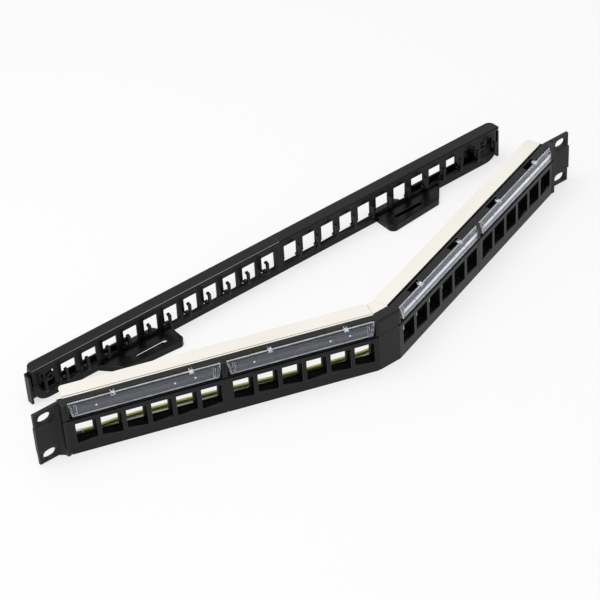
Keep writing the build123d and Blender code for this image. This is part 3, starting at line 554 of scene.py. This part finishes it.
# Painted shade: a darker steel in the hollow of the cross recesses.
recess_painted_shade = plated_metal(
    "screw_recess_steel", dull=(84, 85, 86), bright=(116, 117, 118), roughness=0.45)
tinned = plated_metal(
    "lug_tinned_copper", dull=(170, 168, 164), bright=(204, 202, 198), roughness=0.34)
jacket = wire_jacket("wire_yellow_green_jacket", wire_low.z + wire_radius, wire_radius)
print("wire diameter in mm:", round(2 * wire_radius / MM, 2))

# %% [markdown]
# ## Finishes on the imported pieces
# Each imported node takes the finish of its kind, by the start of its name. The kinds also say which of the
# record's material slots the finish belongs to, how wide the rounds of its edges are in millimetres, and
# which finish the rounds take, or on a screw the recess. A width of 0 leaves the edges as they are packed.

# %% Put the finishes on
Kind = namedtuple("Kind", "slot finish edge_finish round_mm")
KINDS = {
    "port_module": Kind("black_plastic", bezel_black, bezel_edge_highlight, 0.25),
    "nose_cover": Kind("black_plastic", bezel_black, bezel_edge_highlight, 0.30),
    "ear_left": Kind("black_plastic", bezel_black, bezel_edge_highlight, 0.25),
    "ear_right": Kind("black_plastic", bezel_black, bezel_edge_highlight, 0.25),
    "tray": Kind("tray_paint", cream_coat, cream_edge_highlight, 0.25),
    "centre_bracket": Kind("tray_paint", cream_coat, cream_edge_highlight, 0.20),
    "label_cover": Kind("clear_plastic", cover_clear, cover_edge_highlight, 0.42),
    "label_strip": Kind("label_card", grey_card, grey_card, 0),
    "module_screws": Kind("screw_steel", zinc_steel, recess_painted_shade, 0),
    "ear_screws": Kind("screw_steel", zinc_steel, recess_painted_shade, 0),
    "bracket_screws": Kind("screw_steel", zinc_steel, recess_painted_shade, 0),
    "earth_lug": Kind("tinned_copper", tinned, tinned, 0.1),
    "earth_studs": Kind("screw_steel", zinc_steel, zinc_steel, 0),
    "earth_nuts": Kind("screw_steel", zinc_steel, zinc_steel, 0.25),
    "earth_wire": Kind("wire_pvc", jacket, jacket, 0),
    "cable_bar": Kind("black_plastic", bar_black, bar_edge_highlight, 0.32),
    "cable_hooks": Kind("black_plastic", bar_black, bar_edge_highlight, 0.18),
    "bar_foot": Kind("black_plastic", bar_black, bar_edge_highlight, 0.35),
}


def kind_of(node):
    """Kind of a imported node, by the start of its name."""
    for start, kind in KINDS.items():
        if node.startswith(start):
            return kind
    raise ValueError(f"no finish for {node}")


for name, item in nodes.items():
    finish = kind_of(name).finish
    if not item.material_slots:
        item.data.materials.append(finish)
    for place in item.material_slots:
        place.material = finish
print("finished nodes:", len(nodes))

# %% [markdown]
# ## Rounded edges
# No moulding, bent sheet or nut has a knife edge: each edge has a small round that catches the light, and
# that line of light is what shows the shape of a black object. The construction has its large rounds
# already and leaves the small ones out. They are added on copies, since a imported node must stay as it is.
# The imported mesh is loose triangles, so a copy is first welded. Its flat triangles are dissolved into whole
# faces and cut up again into well-shaped ones, because a whole face with many corners can fold over itself
# when its edges move. Then the edges sharper than an angle are selected and bevelled, and the rounds get a
# finish of their own, which on the mouldings, trays and covers is paler: a painted highlight. A Bevel
# modifier would take the same angle, but it holds all rounds to the width that the shortest edge allows, so
# here the very short edges, such as the steps of a pin, are left out instead.

# %% Picking and bevelling
def select_only(item):
    """Make an object the only selected one."""
    bpy.ops.object.select_all(action="DESELECT")
    item.select_set(True)
    bpy.context.view_layer.objects.active = item


def pick(item, kind, wanted):
    """In edit mode, select only the corners, edges or faces (VERT, EDGE or FACE) that pass a test."""
    bpy.ops.mesh.select_mode(type=kind)
    bpy.ops.mesh.select_all(action="DESELECT")
    mesh = bmesh.from_edit_mesh(item.data)
    for element in {"VERT": mesh.verts, "EDGE": mesh.edges, "FACE": mesh.faces}[kind]:
        element.select_set(wanted(element))
    bmesh.update_edit_mesh(item.data)


def bevel_where(item, wanted, width, steps, material_index=-1):
    """Bevel the edges of an object that pass a test; -1 leaves the new faces their material."""
    select_only(item)
    bpy.ops.object.mode_set(mode="EDIT")
    pick(item, "EDGE", wanted)
    bpy.ops.mesh.bevel(offset=width, segments=steps, material=material_index, clamp_overlap=False)
    bpy.ops.object.mode_set(mode="OBJECT")


def add_look(piece, finish):
    """Give a piece one more finish; returns the material index for its faces."""
    piece.data.materials.append(finish)
    return len(piece.data.materials) - 1


def count_faces(piece, look):
    """Number of a piece's faces that carry a material index."""
    return sum(face.material_index == look for face in piece.data.polygons)


print("faces of the floor with its finish:", count_faces(floor, 0))

# %% [markdown]
# A dressed piece is made in this order: weld, any wide bevel of its own, the small rounds, and last the
# normals. After the rounds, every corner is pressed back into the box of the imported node, so the visible
# piece can't grow past the construction.

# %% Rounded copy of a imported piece
WELD = 0.001 * MM
FLAT = math.radians(1.0)
EDGE_SHARP = 32
ROUND_STEPS = 2
LEAST_LENGTH = 2.2
SMOOTH_BELOW = math.radians(50)
FLATS_FIRST = 80
FACES, ROUNDS = 0, 1


def welded_copy(node, name):
    """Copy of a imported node's mesh as whole faces, cut into well-shaped triangles."""
    copy = bpy.data.objects.new(name, nodes[node].data.copy())
    scene.collection.objects.link(copy)
    select_only(copy)
    bpy.ops.object.mode_set(mode="EDIT")
    bpy.ops.mesh.select_all(action="SELECT")
    bpy.ops.mesh.remove_doubles(threshold=WELD)
    bpy.ops.mesh.dissolve_limited(angle_limit=FLAT)
    bpy.ops.mesh.quads_convert_to_tris(quad_method="BEAUTY", ngon_method="BEAUTY")
    bpy.ops.object.mode_set(mode="OBJECT")
    return copy


def round_edges(item, width, sharper_than):
    """Round the edges sharper than an angle in degrees and long enough for the width."""
    def is_sharp(edge):
        sharp = edge.is_manifold and edge.calc_face_angle() > math.radians(sharper_than)
        return sharp and edge.calc_length() > LEAST_LENGTH * width
    bevel_where(item, is_sharp, width, ROUND_STEPS, ROUNDS)


def keep_in_box(piece, node):
    """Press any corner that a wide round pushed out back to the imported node's own box."""
    low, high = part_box(node)
    for vertex in piece.data.vertices:
        vertex.co = Vector([min(max(value, least), most) for value, least, most in zip(vertex.co, low, high)])


def smooth_rounds(piece):
    """Smooth the rounds and keep the flats flat: a large face outweighs the small ones beside it."""
    select_only(piece)
    bpy.ops.object.shade_smooth_by_angle(angle=SMOOTH_BELOW)
    weights = piece.modifiers.new("flats_first", "WEIGHTED_NORMAL")
    weights.keep_sharp = True
    weights.weight = FLATS_FIRST
    bpy.ops.object.modifier_apply(modifier=weights.name)


def dress(node, sharper_than=EDGE_SHARP, prepare=None):
    """Rounded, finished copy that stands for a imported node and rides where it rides."""
    slot_name, finish, edge_finish, width = kind_of(node)
    piece = welded_copy(node, node + "_dressed")
    if prepare:
        prepare(piece)
    piece.data.materials.clear()
    piece.data.materials.append(finish)
    piece.data.materials.append(edge_finish)
    for face in piece.data.polygons:
        face.material_index = FACES
    round_edges(piece, width * MM, sharper_than)
    keep_in_box(piece, node)
    smooth_rounds(piece)
    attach(piece, body_of(nodes[node])[0])
    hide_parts(node)
    return piece


tray_round = kind_of("tray").round_mm
print("a round of", tray_round, "mm leaves edges under", round(LEAST_LENGTH * tray_round, 2), "mm sharp")

# %% [markdown]
# The black mouldings, the trays with their bracket, and the metal of the earth connection are all rounded
# the same way. The covers and the bar wait, because each has a wide bend to make first.

# %% Rounded mouldings, trays and metal
BENT_FIRST = ("label_cover", "cable_bar")

dressed = {}
for node in nodes:
    if kind_of(node).round_mm > 0 and not node.startswith(BENT_FIRST):
        dressed[node] = dress(node)
print("rounded pieces:", {name: len(piece.data.polygons) for name, piece in dressed.items()})

# %% [markdown]
# Every module has its own straight frame: the hinge joint of its cover gives the middle of the module, the
# direction along the wing, and from that the direction that faces the front. Small pieces and finishes
# on the wings are placed in it, so no place is typed in the panel's own axes.

# %% Frame of a wing
HINGE_BEHIND_FACE = 5.2 * MM
MODULES = (1, 2, 3, 4)
Wing = namedtuple("Wing", "middle along front face_plane")


def wing_frame(index):
    """Hinge middle, directions to the right and to the front, and a point of the face, of a module."""
    joint = next(joint for joint in frame["joints"] if joint["name"] == f"cover_{index}_hinge")
    middle, axis = Vector(joint["pos_m"]), Vector(joint["axis"])
    along = axis if axis.x > 0 else -axis
    front = Vector((along.y, -along.x, 0))
    return Wing(middle, along, front, middle + front * HINGE_BEHIND_FACE)


def wing_place(wing, along_mm, behind_mm, height_mm):
    """Point at a distance from the module's middle, behind its face, and above the panel's middle."""
    place = wing.face_plane + wing.along * along_mm * MM - wing.front * behind_mm * MM
    return Vector((place.x, place.y, height_mm * MM))


def depth(wing, face):
    """Distance of a mesh face behind the module's face."""
    return (wing.face_plane - face.center).dot(wing.front)


for index in MODULES:
    wing = wing_frame(index)
    print("cover", index, "along", [round(value, 3) for value in wing.along],
          "front", [round(value, 3) for value in wing.front])

# %% [markdown]
# The groove pressed along the front of each tray's upper flange is a shade line, and the shade is painted:
# its floor faces are found by their height, a little below the top, and take a brown painted shade on the
# left tray. The front of the web and the walls of its cut-outs are found by their depth and take a dark grey
# painted shade; only the web's rear face keeps the full cream coat. The narrow hem in front of the groove
# keeps the cream coat on the left tray. On the right one the hem, the groove and the cut-outs all take the
# near-black painted shade of the ports.

# %% Groove and cut-outs of the trays
GROOVE_LEAST = 0.2 * MM
GROOVE_MOST = 0.6 * MM
WEB_FRONT = 7.9 * MM
WEB_BACK = 9.3 * MM
SQUARE_ON = 0.9
CREAM_HEM_TRAYS = ("tray_left",)

for node, index in (("tray_left", 1), ("tray_right", 3)):
    tray, wing = dressed[node], wing_frame(index)
    cream_hem = node in CREAM_HEM_TRAYS
    groove = add_look(tray, groove_painted_shade if cream_hem else port_painted_shade)
    cuts = add_look(tray, web_painted_shade if cream_hem else port_painted_shade)
    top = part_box(node)[1].z
    highest = top - MM if cream_hem else top + MM
    for face in tray.data.polygons:
        rearward = face.normal.dot(wing.front) <= -SQUARE_ON
        if face.normal.z > SQUARE_ON and top - GROOVE_MOST < face.center.z < top - GROOVE_LEAST:
            face.material_index = groove
        elif WEB_FRONT < depth(wing, face) < WEB_BACK and not rearward and face.center.z < highest:
            face.material_index = cuts
    print(node, "groove faces:", count_faces(tray, groove), "cut-out faces:", count_faces(tray, cuts))

# %% [markdown]
# The walls inside the ports carry a coarser texture than the face, because the tool's cores were left as
# they were eroded, and a near-black painted shade that hardly shines, even at a grazing angle, so the
# ports look deep and dark. The narrow channel that the cover's lower edge shuts into takes the same
# painted shade and reads as a black line. The rear walls of the hinge slots are brown on the left wing
# and take the same painted shade on the right wing.

# %% Painted shade inside the ports
PORT_LOW = -12.5 * MM
PORT_HIGH = 4.5 * MM
PORT_FRONT = 0.4 * MM
CHANNEL_LOW = 7.2 * MM
CHANNEL_HIGH = 11.5 * MM
CHANNEL_DEPTH = 1.5 * MM
CHANNEL_RISE = 0.3
SLOT_LOW = 17.0 * MM
SLOT_HIGH = 21.8 * MM
SLOT_NEAR = 6.5 * MM
SLOT_FAR = 7.0 * MM
BROWN_SLOT_MODULES = (1, 2)

for index in MODULES:
    module, wing = dressed[f"port_module_{index}"], wing_frame(index)
    walls = add_look(module, port_painted_shade)
    slot_back = add_look(module, rear_slot_brown if index in BROWN_SLOT_MODULES else port_painted_shade)
    for face in module.data.polygons:
        height, behind = face.center.z, depth(wing, face)
        in_port = PORT_LOW < height < PORT_HIGH and behind > PORT_FRONT
        near_channel = CHANNEL_LOW < height < CHANNEL_HIGH and behind < CHANNEL_DEPTH
        in_slot = SLOT_LOW < height < SLOT_HIGH and SLOT_NEAR < behind < SLOT_FAR
        if in_port or near_channel and face.normal.z > CHANNEL_RISE:
            face.material_index = walls
        if in_slot and face.normal.dot(wing.front) > SQUARE_ON:
            face.material_index = slot_back
    print("module", index, "matt faces:", count_faces(module, walls) + count_faces(module, slot_back))

# %% [markdown]
# The bar's face turns into its upper flange in a wide soft bend, not in a corner. The outer edge between
# the two is picked by its faces, one looking up and one to the front, and bevelled in several steps before
# the small rounds are made. On the left half the crest of that bend takes a pale, glossier finish: a
# painted highlight that draws one light line.

# %% Bend and painted crest highlight of the bar
BEND_RADIUS = 3.4 * MM
BEND_STEPS = 6
BEND_SQUARE = 0.99
CREST_LEAST = 0.80
CREST_MOST = 0.985
CREST_FORWARD = 0.1


def bend_front_edge(bar):
    """Wide bevel on the outer edge between the face and the upper flange."""
    def is_bend(edge):
        if len(edge.link_faces) != 2:
            return False
        upper, lower = sorted((face.normal for face in edge.link_faces), key=lambda normal: -normal.z)
        return upper.z > BEND_SQUARE and lower.y < -BEND_SQUARE and edge.calc_length() > BEND_RADIUS
    bevel_where(bar, is_bend, BEND_RADIUS, BEND_STEPS)


for node in ("cable_bar_left", "cable_bar_right"):
    dressed[node] = dress(node, prepare=bend_front_edge)
bar = dressed["cable_bar_left"]
crest_highlight_look = add_look(bar, bar_crest_highlight)
bar_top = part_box("cable_bar_left")[1].z
for face in bar.data.polygons:
    crest = face.center.z > bar_top - BEND_RADIUS and face.normal.y < -CREST_FORWARD
    if crest and CREST_LEAST < face.normal.z < CREST_MOST:
        face.material_index = crest_highlight_look
print("crest faces:", count_faces(bar, crest_highlight_look))

# %% [markdown]
# The slot in each foot shows only the shade under the foot, so a thin black sheet is set in it as a
# painted shade. A block is sized in edit mode, its upright corners are rounded to follow the slot's round
# ends, and its mesh is moved to a place just above the foot's underside. Its sides end inside the foot.

# %% Painted shade sheets in the foot slots
GROOVE_LENGTH = 29 * MM
GROOVE_THICK = 1.2 * MM
GROOVE_LIFT = 0.3 * MM
GROOVE_FROM_TIP = 25.0 * MM
GROOVE_ROUND = 0.45
GROOVE_STEPS = 6
UPRIGHT = 0.9
WEB_SMOOTH = math.radians(40)
GROOVE_FEET = (("bar_foot_left", -1, 6.0, 9.0), ("bar_foot_right", 1, 8.0, 9.4))


def is_upright(edge):
    """True for an edge that stands nearly straight up."""
    return abs((edge.verts[0].co - edge.verts[1].co).normalized().z) > UPRIGHT


for node, side, width_mm, from_front_mm in GROOVE_FEET:
    foot_low, foot_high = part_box(node)
    inner_x = foot_high.x if side < 0 else foot_low.x
    place = Vector((
        inner_x + side * GROOVE_FROM_TIP,
        foot_low.y + from_front_mm * MM,
        foot_low.z + GROOVE_LIFT + GROOVE_THICK / 2,
    ))
    bpy.ops.object.select_all(action="DESELECT")
    bpy.ops.mesh.primitive_cube_add(size=1, location=(0, 0, 0))
    web = bpy.context.object
    web.name = node + "_groove_floor"
    bpy.ops.object.mode_set(mode="EDIT")
    bpy.ops.mesh.select_all(action="SELECT")
    bpy.ops.transform.resize(value=(GROOVE_LENGTH, width_mm * MM, GROOVE_THICK))
    bpy.ops.object.mode_set(mode="OBJECT")
    bevel_where(web, is_upright, width_mm * GROOVE_ROUND * MM, GROOVE_STEPS)
    bpy.ops.object.mode_set(mode="EDIT")
    bpy.ops.mesh.select_all(action="SELECT")
    bpy.ops.transform.translate(value=place)
    bpy.ops.object.mode_set(mode="OBJECT")
    bpy.ops.object.shade_smooth_by_angle(angle=WEB_SMOOTH)
    # Painted shade: the black sheet stands for the shade under the foot.
    web.data.materials.append(bar_black)
    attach(web, body_of(nodes[node])[0])
    print(web.name, "at", [round(value / MM, 1) for value in place])

# %% [markdown]
# The screws are pan heads with a cross recess. The recess is a cutter: a cube whose four sides are drawn
# out into arms and whose deep end is narrowed, as the driver's tip is. It is modelled once.

# %% Cutter of the cross recesses
CROSS_WIDTH = 0.72 * MM
CROSS_ARM = 1.0 * MM
CROSS_DEPTH = 0.9 * MM
CROSS_TAPER = 0.6

bpy.ops.object.select_all(action="DESELECT")
bpy.ops.mesh.primitive_cube_add(size=1, location=(0, 0, 0))
cross = bpy.context.object
cross.name = "cross_recess_model"
bpy.ops.object.mode_set(mode="EDIT")
bpy.ops.mesh.select_all(action="SELECT")
bpy.ops.transform.resize(value=(CROSS_WIDTH, CROSS_WIDTH, 2 * CROSS_DEPTH))
pick(cross, "FACE", lambda face: abs(face.normal.z) < 0.5)
bpy.ops.mesh.extrude_faces_move(TRANSFORM_OT_shrink_fatten={"value": CROSS_ARM})
pick(cross, "VERT", lambda corner: corner.co.z < 0)
bpy.ops.transform.resize(value=(CROSS_TAPER, CROSS_TAPER, 1), center_override=(0, 0, -CROSS_DEPTH))
bpy.ops.mesh.select_all(action="SELECT")
bpy.ops.mesh.normals_make_consistent(inside=False)
bpy.ops.object.mode_set(mode="OBJECT")
print("cross cutter faces:", len(cross.data.polygons))

# %% [markdown]
# Each screw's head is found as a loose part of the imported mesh, and its flat top gives the place. The parts
# are walked in the order of the mesh and then sorted by their middles, so that every run counts the
# screws alike.

# %% Heads of the screws
TOP_BAND = 0.01 * MM


def middle_of_part(part):
    """Height and place across the panel of a part's middle, in tenths of a millimetre."""
    height = sum(corner.z for corner in part) / len(part)
    across = sum(corner.x for corner in part) / len(part)
    return round(height / MM, 1), round(across / MM, 1)


def loose_parts(item):
    """Lists of corner places, one list for each loose part of a mesh, in the order of their middles."""
    mesh = bmesh.new()
    mesh.from_mesh(item.data)
    reached = set()
    parts = []
    for first in mesh.verts:
        if first.index in reached:
            continue
        reached.add(first.index)
        to_follow = [first]
        part = []
        while to_follow:
            corner = to_follow.pop()
            part.append(corner.co.copy())
            for edge in corner.link_edges:
                other = edge.other_vert(corner)
                if other.index not in reached:
                    reached.add(other.index)
                    to_follow.append(other)
        parts.append(part)
    mesh.free()
    return sorted(parts, key=middle_of_part)


def head_top(part, along, outward):
    """Middle of a screw head's flat top."""
    reach = max(corner.dot(outward) for corner in part)
    rim = [corner for corner in part if corner.dot(outward) > reach - TOP_BAND]
    across = [corner.dot(along) for corner in rim]
    heights = [corner.z for corner in rim]
    middle = along * (min(across) + max(across)) / 2 + outward * reach
    return Vector((middle.x, middle.y, (min(heights) + max(heights)) / 2))


print("loose parts of the cutter:", len(loose_parts(cross)))

# %% [markdown]
# A copy of the cutter is set into each head with a turn of its own, because no two screws stop at the same
# angle. A Boolean takes all the crosses of a node away at once. The new faces that lie on a cutter's wall
# are the recess, and they take a darker steel: painted shade in the hollow.

# %% Cross recesses of the screws
TURN_STEP = math.radians(37)
ON_WALL = 0.99
SCREW_SMOOTH = math.radians(30)


def copy_to(model, name, place, turn):
    """Copy with its own mesh, turned and moved inside the mesh, so its object stays at the origin."""
    copy = bpy.data.objects.new(name, model.data.copy())
    scene.collection.objects.link(copy)
    copy.data.transform(Matrix.Translation(place) @ turn.to_4x4())
    return copy


def set_cutters(screws, node):
    """One joined object with a turned cross in the head of every screw."""
    cutters = []
    for count, part in enumerate(loose_parts(screws)):
        left_wing = sum(corner.x for corner in part) < 0
        wing = wing_frame(1 if left_wing else 3)
        outward = -wing.front
        turn = Matrix((wing.along, outward.cross(wing.along), outward)).transposed()
        turn = turn @ Matrix.Rotation(TURN_STEP * (count + 1), 3, "Z")
        place = head_top(part, wing.along, outward)
        cutters.append(copy_to(cross, f"{node}_cutter_{count}", place, turn))
    bpy.ops.object.select_all(action="DESELECT")
    for cutter in cutters:
        cutter.select_set(True)
    bpy.context.view_layer.objects.active = cutters[0]
    bpy.ops.object.join()
    return cutters[0]


def subtract(item, cutter):
    """Take a cutter away from an object."""
    select_only(item)
    recess = item.modifiers.new("recess", "BOOLEAN")
    recess.operation = "DIFFERENCE"
    recess.solver = "EXACT"
    recess.object = cutter
    bpy.ops.object.modifier_apply(modifier=recess.name)


def lies_on(face, walls):
    """True for a face that lies on one of the cutter's walls, given as their middles and normals."""
    return any(
        abs((face.center - centre).dot(normal)) < TOP_BAND and face.normal.dot(normal) < -ON_WALL
        and (face.center - centre).length < 2 * CROSS_ARM
        for centre, normal in walls
    )


for node in ("module_screws", "ear_screws", "bracket_screws"):
    slot_name, finish, recess_finish = kind_of(node)[:3]
    screws = welded_copy(node, node + "_dressed")
    before = len(screws.data.polygons)
    cutter = set_cutters(screws, node)
    subtract(screws, cutter)
    walls = [(face.center, face.normal) for face in cutter.data.polygons]
    screws.data.materials.clear()
    screws.data.materials.append(finish)
    recess_look = add_look(screws, recess_finish)
    for face in screws.data.polygons:
        face.material_index = recess_look if lies_on(face, walls) else FACES
    bpy.data.objects.remove(cutter)
    bpy.ops.object.shade_smooth_by_angle(angle=SCREW_SMOOTH)
    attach(screws, body_of(nodes[node])[0])
    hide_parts(node)
    print(node, "faces:", before, "to", len(screws.data.polygons),
          "recess faces:", count_faces(screws, recess_look))
bpy.data.objects.remove(cross)

# %% [markdown]
# The covers fold at a shallow angle, which still draws a bright line, so their edges count as sharp from
# a smaller angle. The fold is first widened by a bevel of its own, and its new faces are then known by
# their slant and take the fold's finish. The hinge tabs are the thickest plastic on the cover and take the
# pale painted highlight of its edges: their faces are the ones at a tab's place that lie well behind the
# module's face.

# %% Clear covers
COVER_SHARP = 12
TAB_START = 2.4 * MM
TAB_END = 4.3 * MM
TAB_SIDES = ((-22.0, -20.0), (32.8, 35.0))
FOLD_WIDTH = 1.1 * MM
FOLD_STEPS = 2
FORWARD = 0.9
UPRIGHT_RISE = 0.1
LEANING_RISE = 0.25
FOLD_FORWARD = 0.94
FOLD_LEAST_RISE = 0.07
FOLD_MOST_RISE = 0.27


def widen_fold(cover):
    """Bevel on the outer edge of the fold, between the upright face and the one that leans back."""
    front = wing_frame(int(cover.name.split("_")[2])).front

    def is_fold(edge):
        if len(edge.link_faces) != 2:
            return False
        rises = sorted(face.normal.z for face in edge.link_faces)
        forward = all(face.normal.dot(front) > FORWARD for face in edge.link_faces)
        return forward and rises[0] < UPRIGHT_RISE and rises[1] > LEANING_RISE
    bevel_where(cover, is_fold, FOLD_WIDTH, FOLD_STEPS)


for index in MODULES:
    node, wing = f"label_cover_{index}", wing_frame(index)
    cover = dress(node, COVER_SHARP, widen_fold)
    tabs = add_look(cover, cover_painted_glow)
    fold = add_look(cover, cover_fold)
    for face in cover.data.polygons:
        place_mm = (face.center - wing.middle).dot(wing.along) / MM
        lit_side = any(start < place_mm < end for start, end in TAB_SIDES)
        facing = abs(face.normal.dot(wing.front)) > FOLD_FORWARD
        if lit_side and TAB_START < depth(wing, face) < TAB_END:
            face.material_index = tabs
        elif facing and FOLD_LEAST_RISE < abs(face.normal.z) < FOLD_MOST_RISE:
            face.material_index = fold
    print(node, "lit tab faces:", count_faces(cover, tabs), "fold faces:", count_faces(cover, fold))

# %% [markdown]
# On the fold, below the ends of the hinge slots, the cover carries small round pips where the mould's
# ejector pins met it. Each is a shallow dome. A ball is flattened and cut just below its middle, so that
# the front half stays with a flat back, and the back is pressed into the cover. The dome is modelled once
# and copied to every place in the wing's frame, each copy with its own mesh.

# %% Pips on the covers
PIP_RADIUS = 0.75 * MM
PIP_HEIGHT = 0.45 * MM
PIP_SEAT = 0.05 * MM
PIPS_ALONG = (-34.35, 20.35, 34.65)
PIP_BEHIND = -0.72
PIP_UP = 16.6

bpy.ops.object.select_all(action="DESELECT")
bpy.ops.mesh.primitive_uv_sphere_add(segments=16, ring_count=10, radius=PIP_RADIUS, location=(0, 0, 0))
pip = bpy.context.object
pip.name = "cover_pip_model"
bpy.ops.object.mode_set(mode="EDIT")
bpy.ops.mesh.select_all(action="SELECT")
bpy.ops.transform.resize(value=(1, 1, PIP_HEIGHT / PIP_RADIUS))
bpy.ops.mesh.bisect(
    plane_co=(0, 0, -PIP_SEAT), plane_no=(0, 0, 1), clear_inner=True, use_fill=True, threshold=WELD
)
bpy.ops.object.mode_set(mode="OBJECT")
bpy.ops.object.shade_smooth_by_angle(angle=SMOOTH_BELOW)
# The pips take the tabs' pale finish: a painted highlight for the glint on each dome.
pip.data.materials.append(cover_painted_glow)

for index in MODULES:
    wing = wing_frame(index)
    turn = Matrix((wing.along, -wing.along.cross(wing.front), wing.front)).transposed()
    for count, along_mm in enumerate(PIPS_ALONG, 1):
        place = wing_place(wing, along_mm, PIP_BEHIND, PIP_UP)
        bump = copy_to(pip, f"cover_{index}_pip_{count}", place, turn)
        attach(bump, f"cover_{index}")
bpy.data.objects.remove(pip)
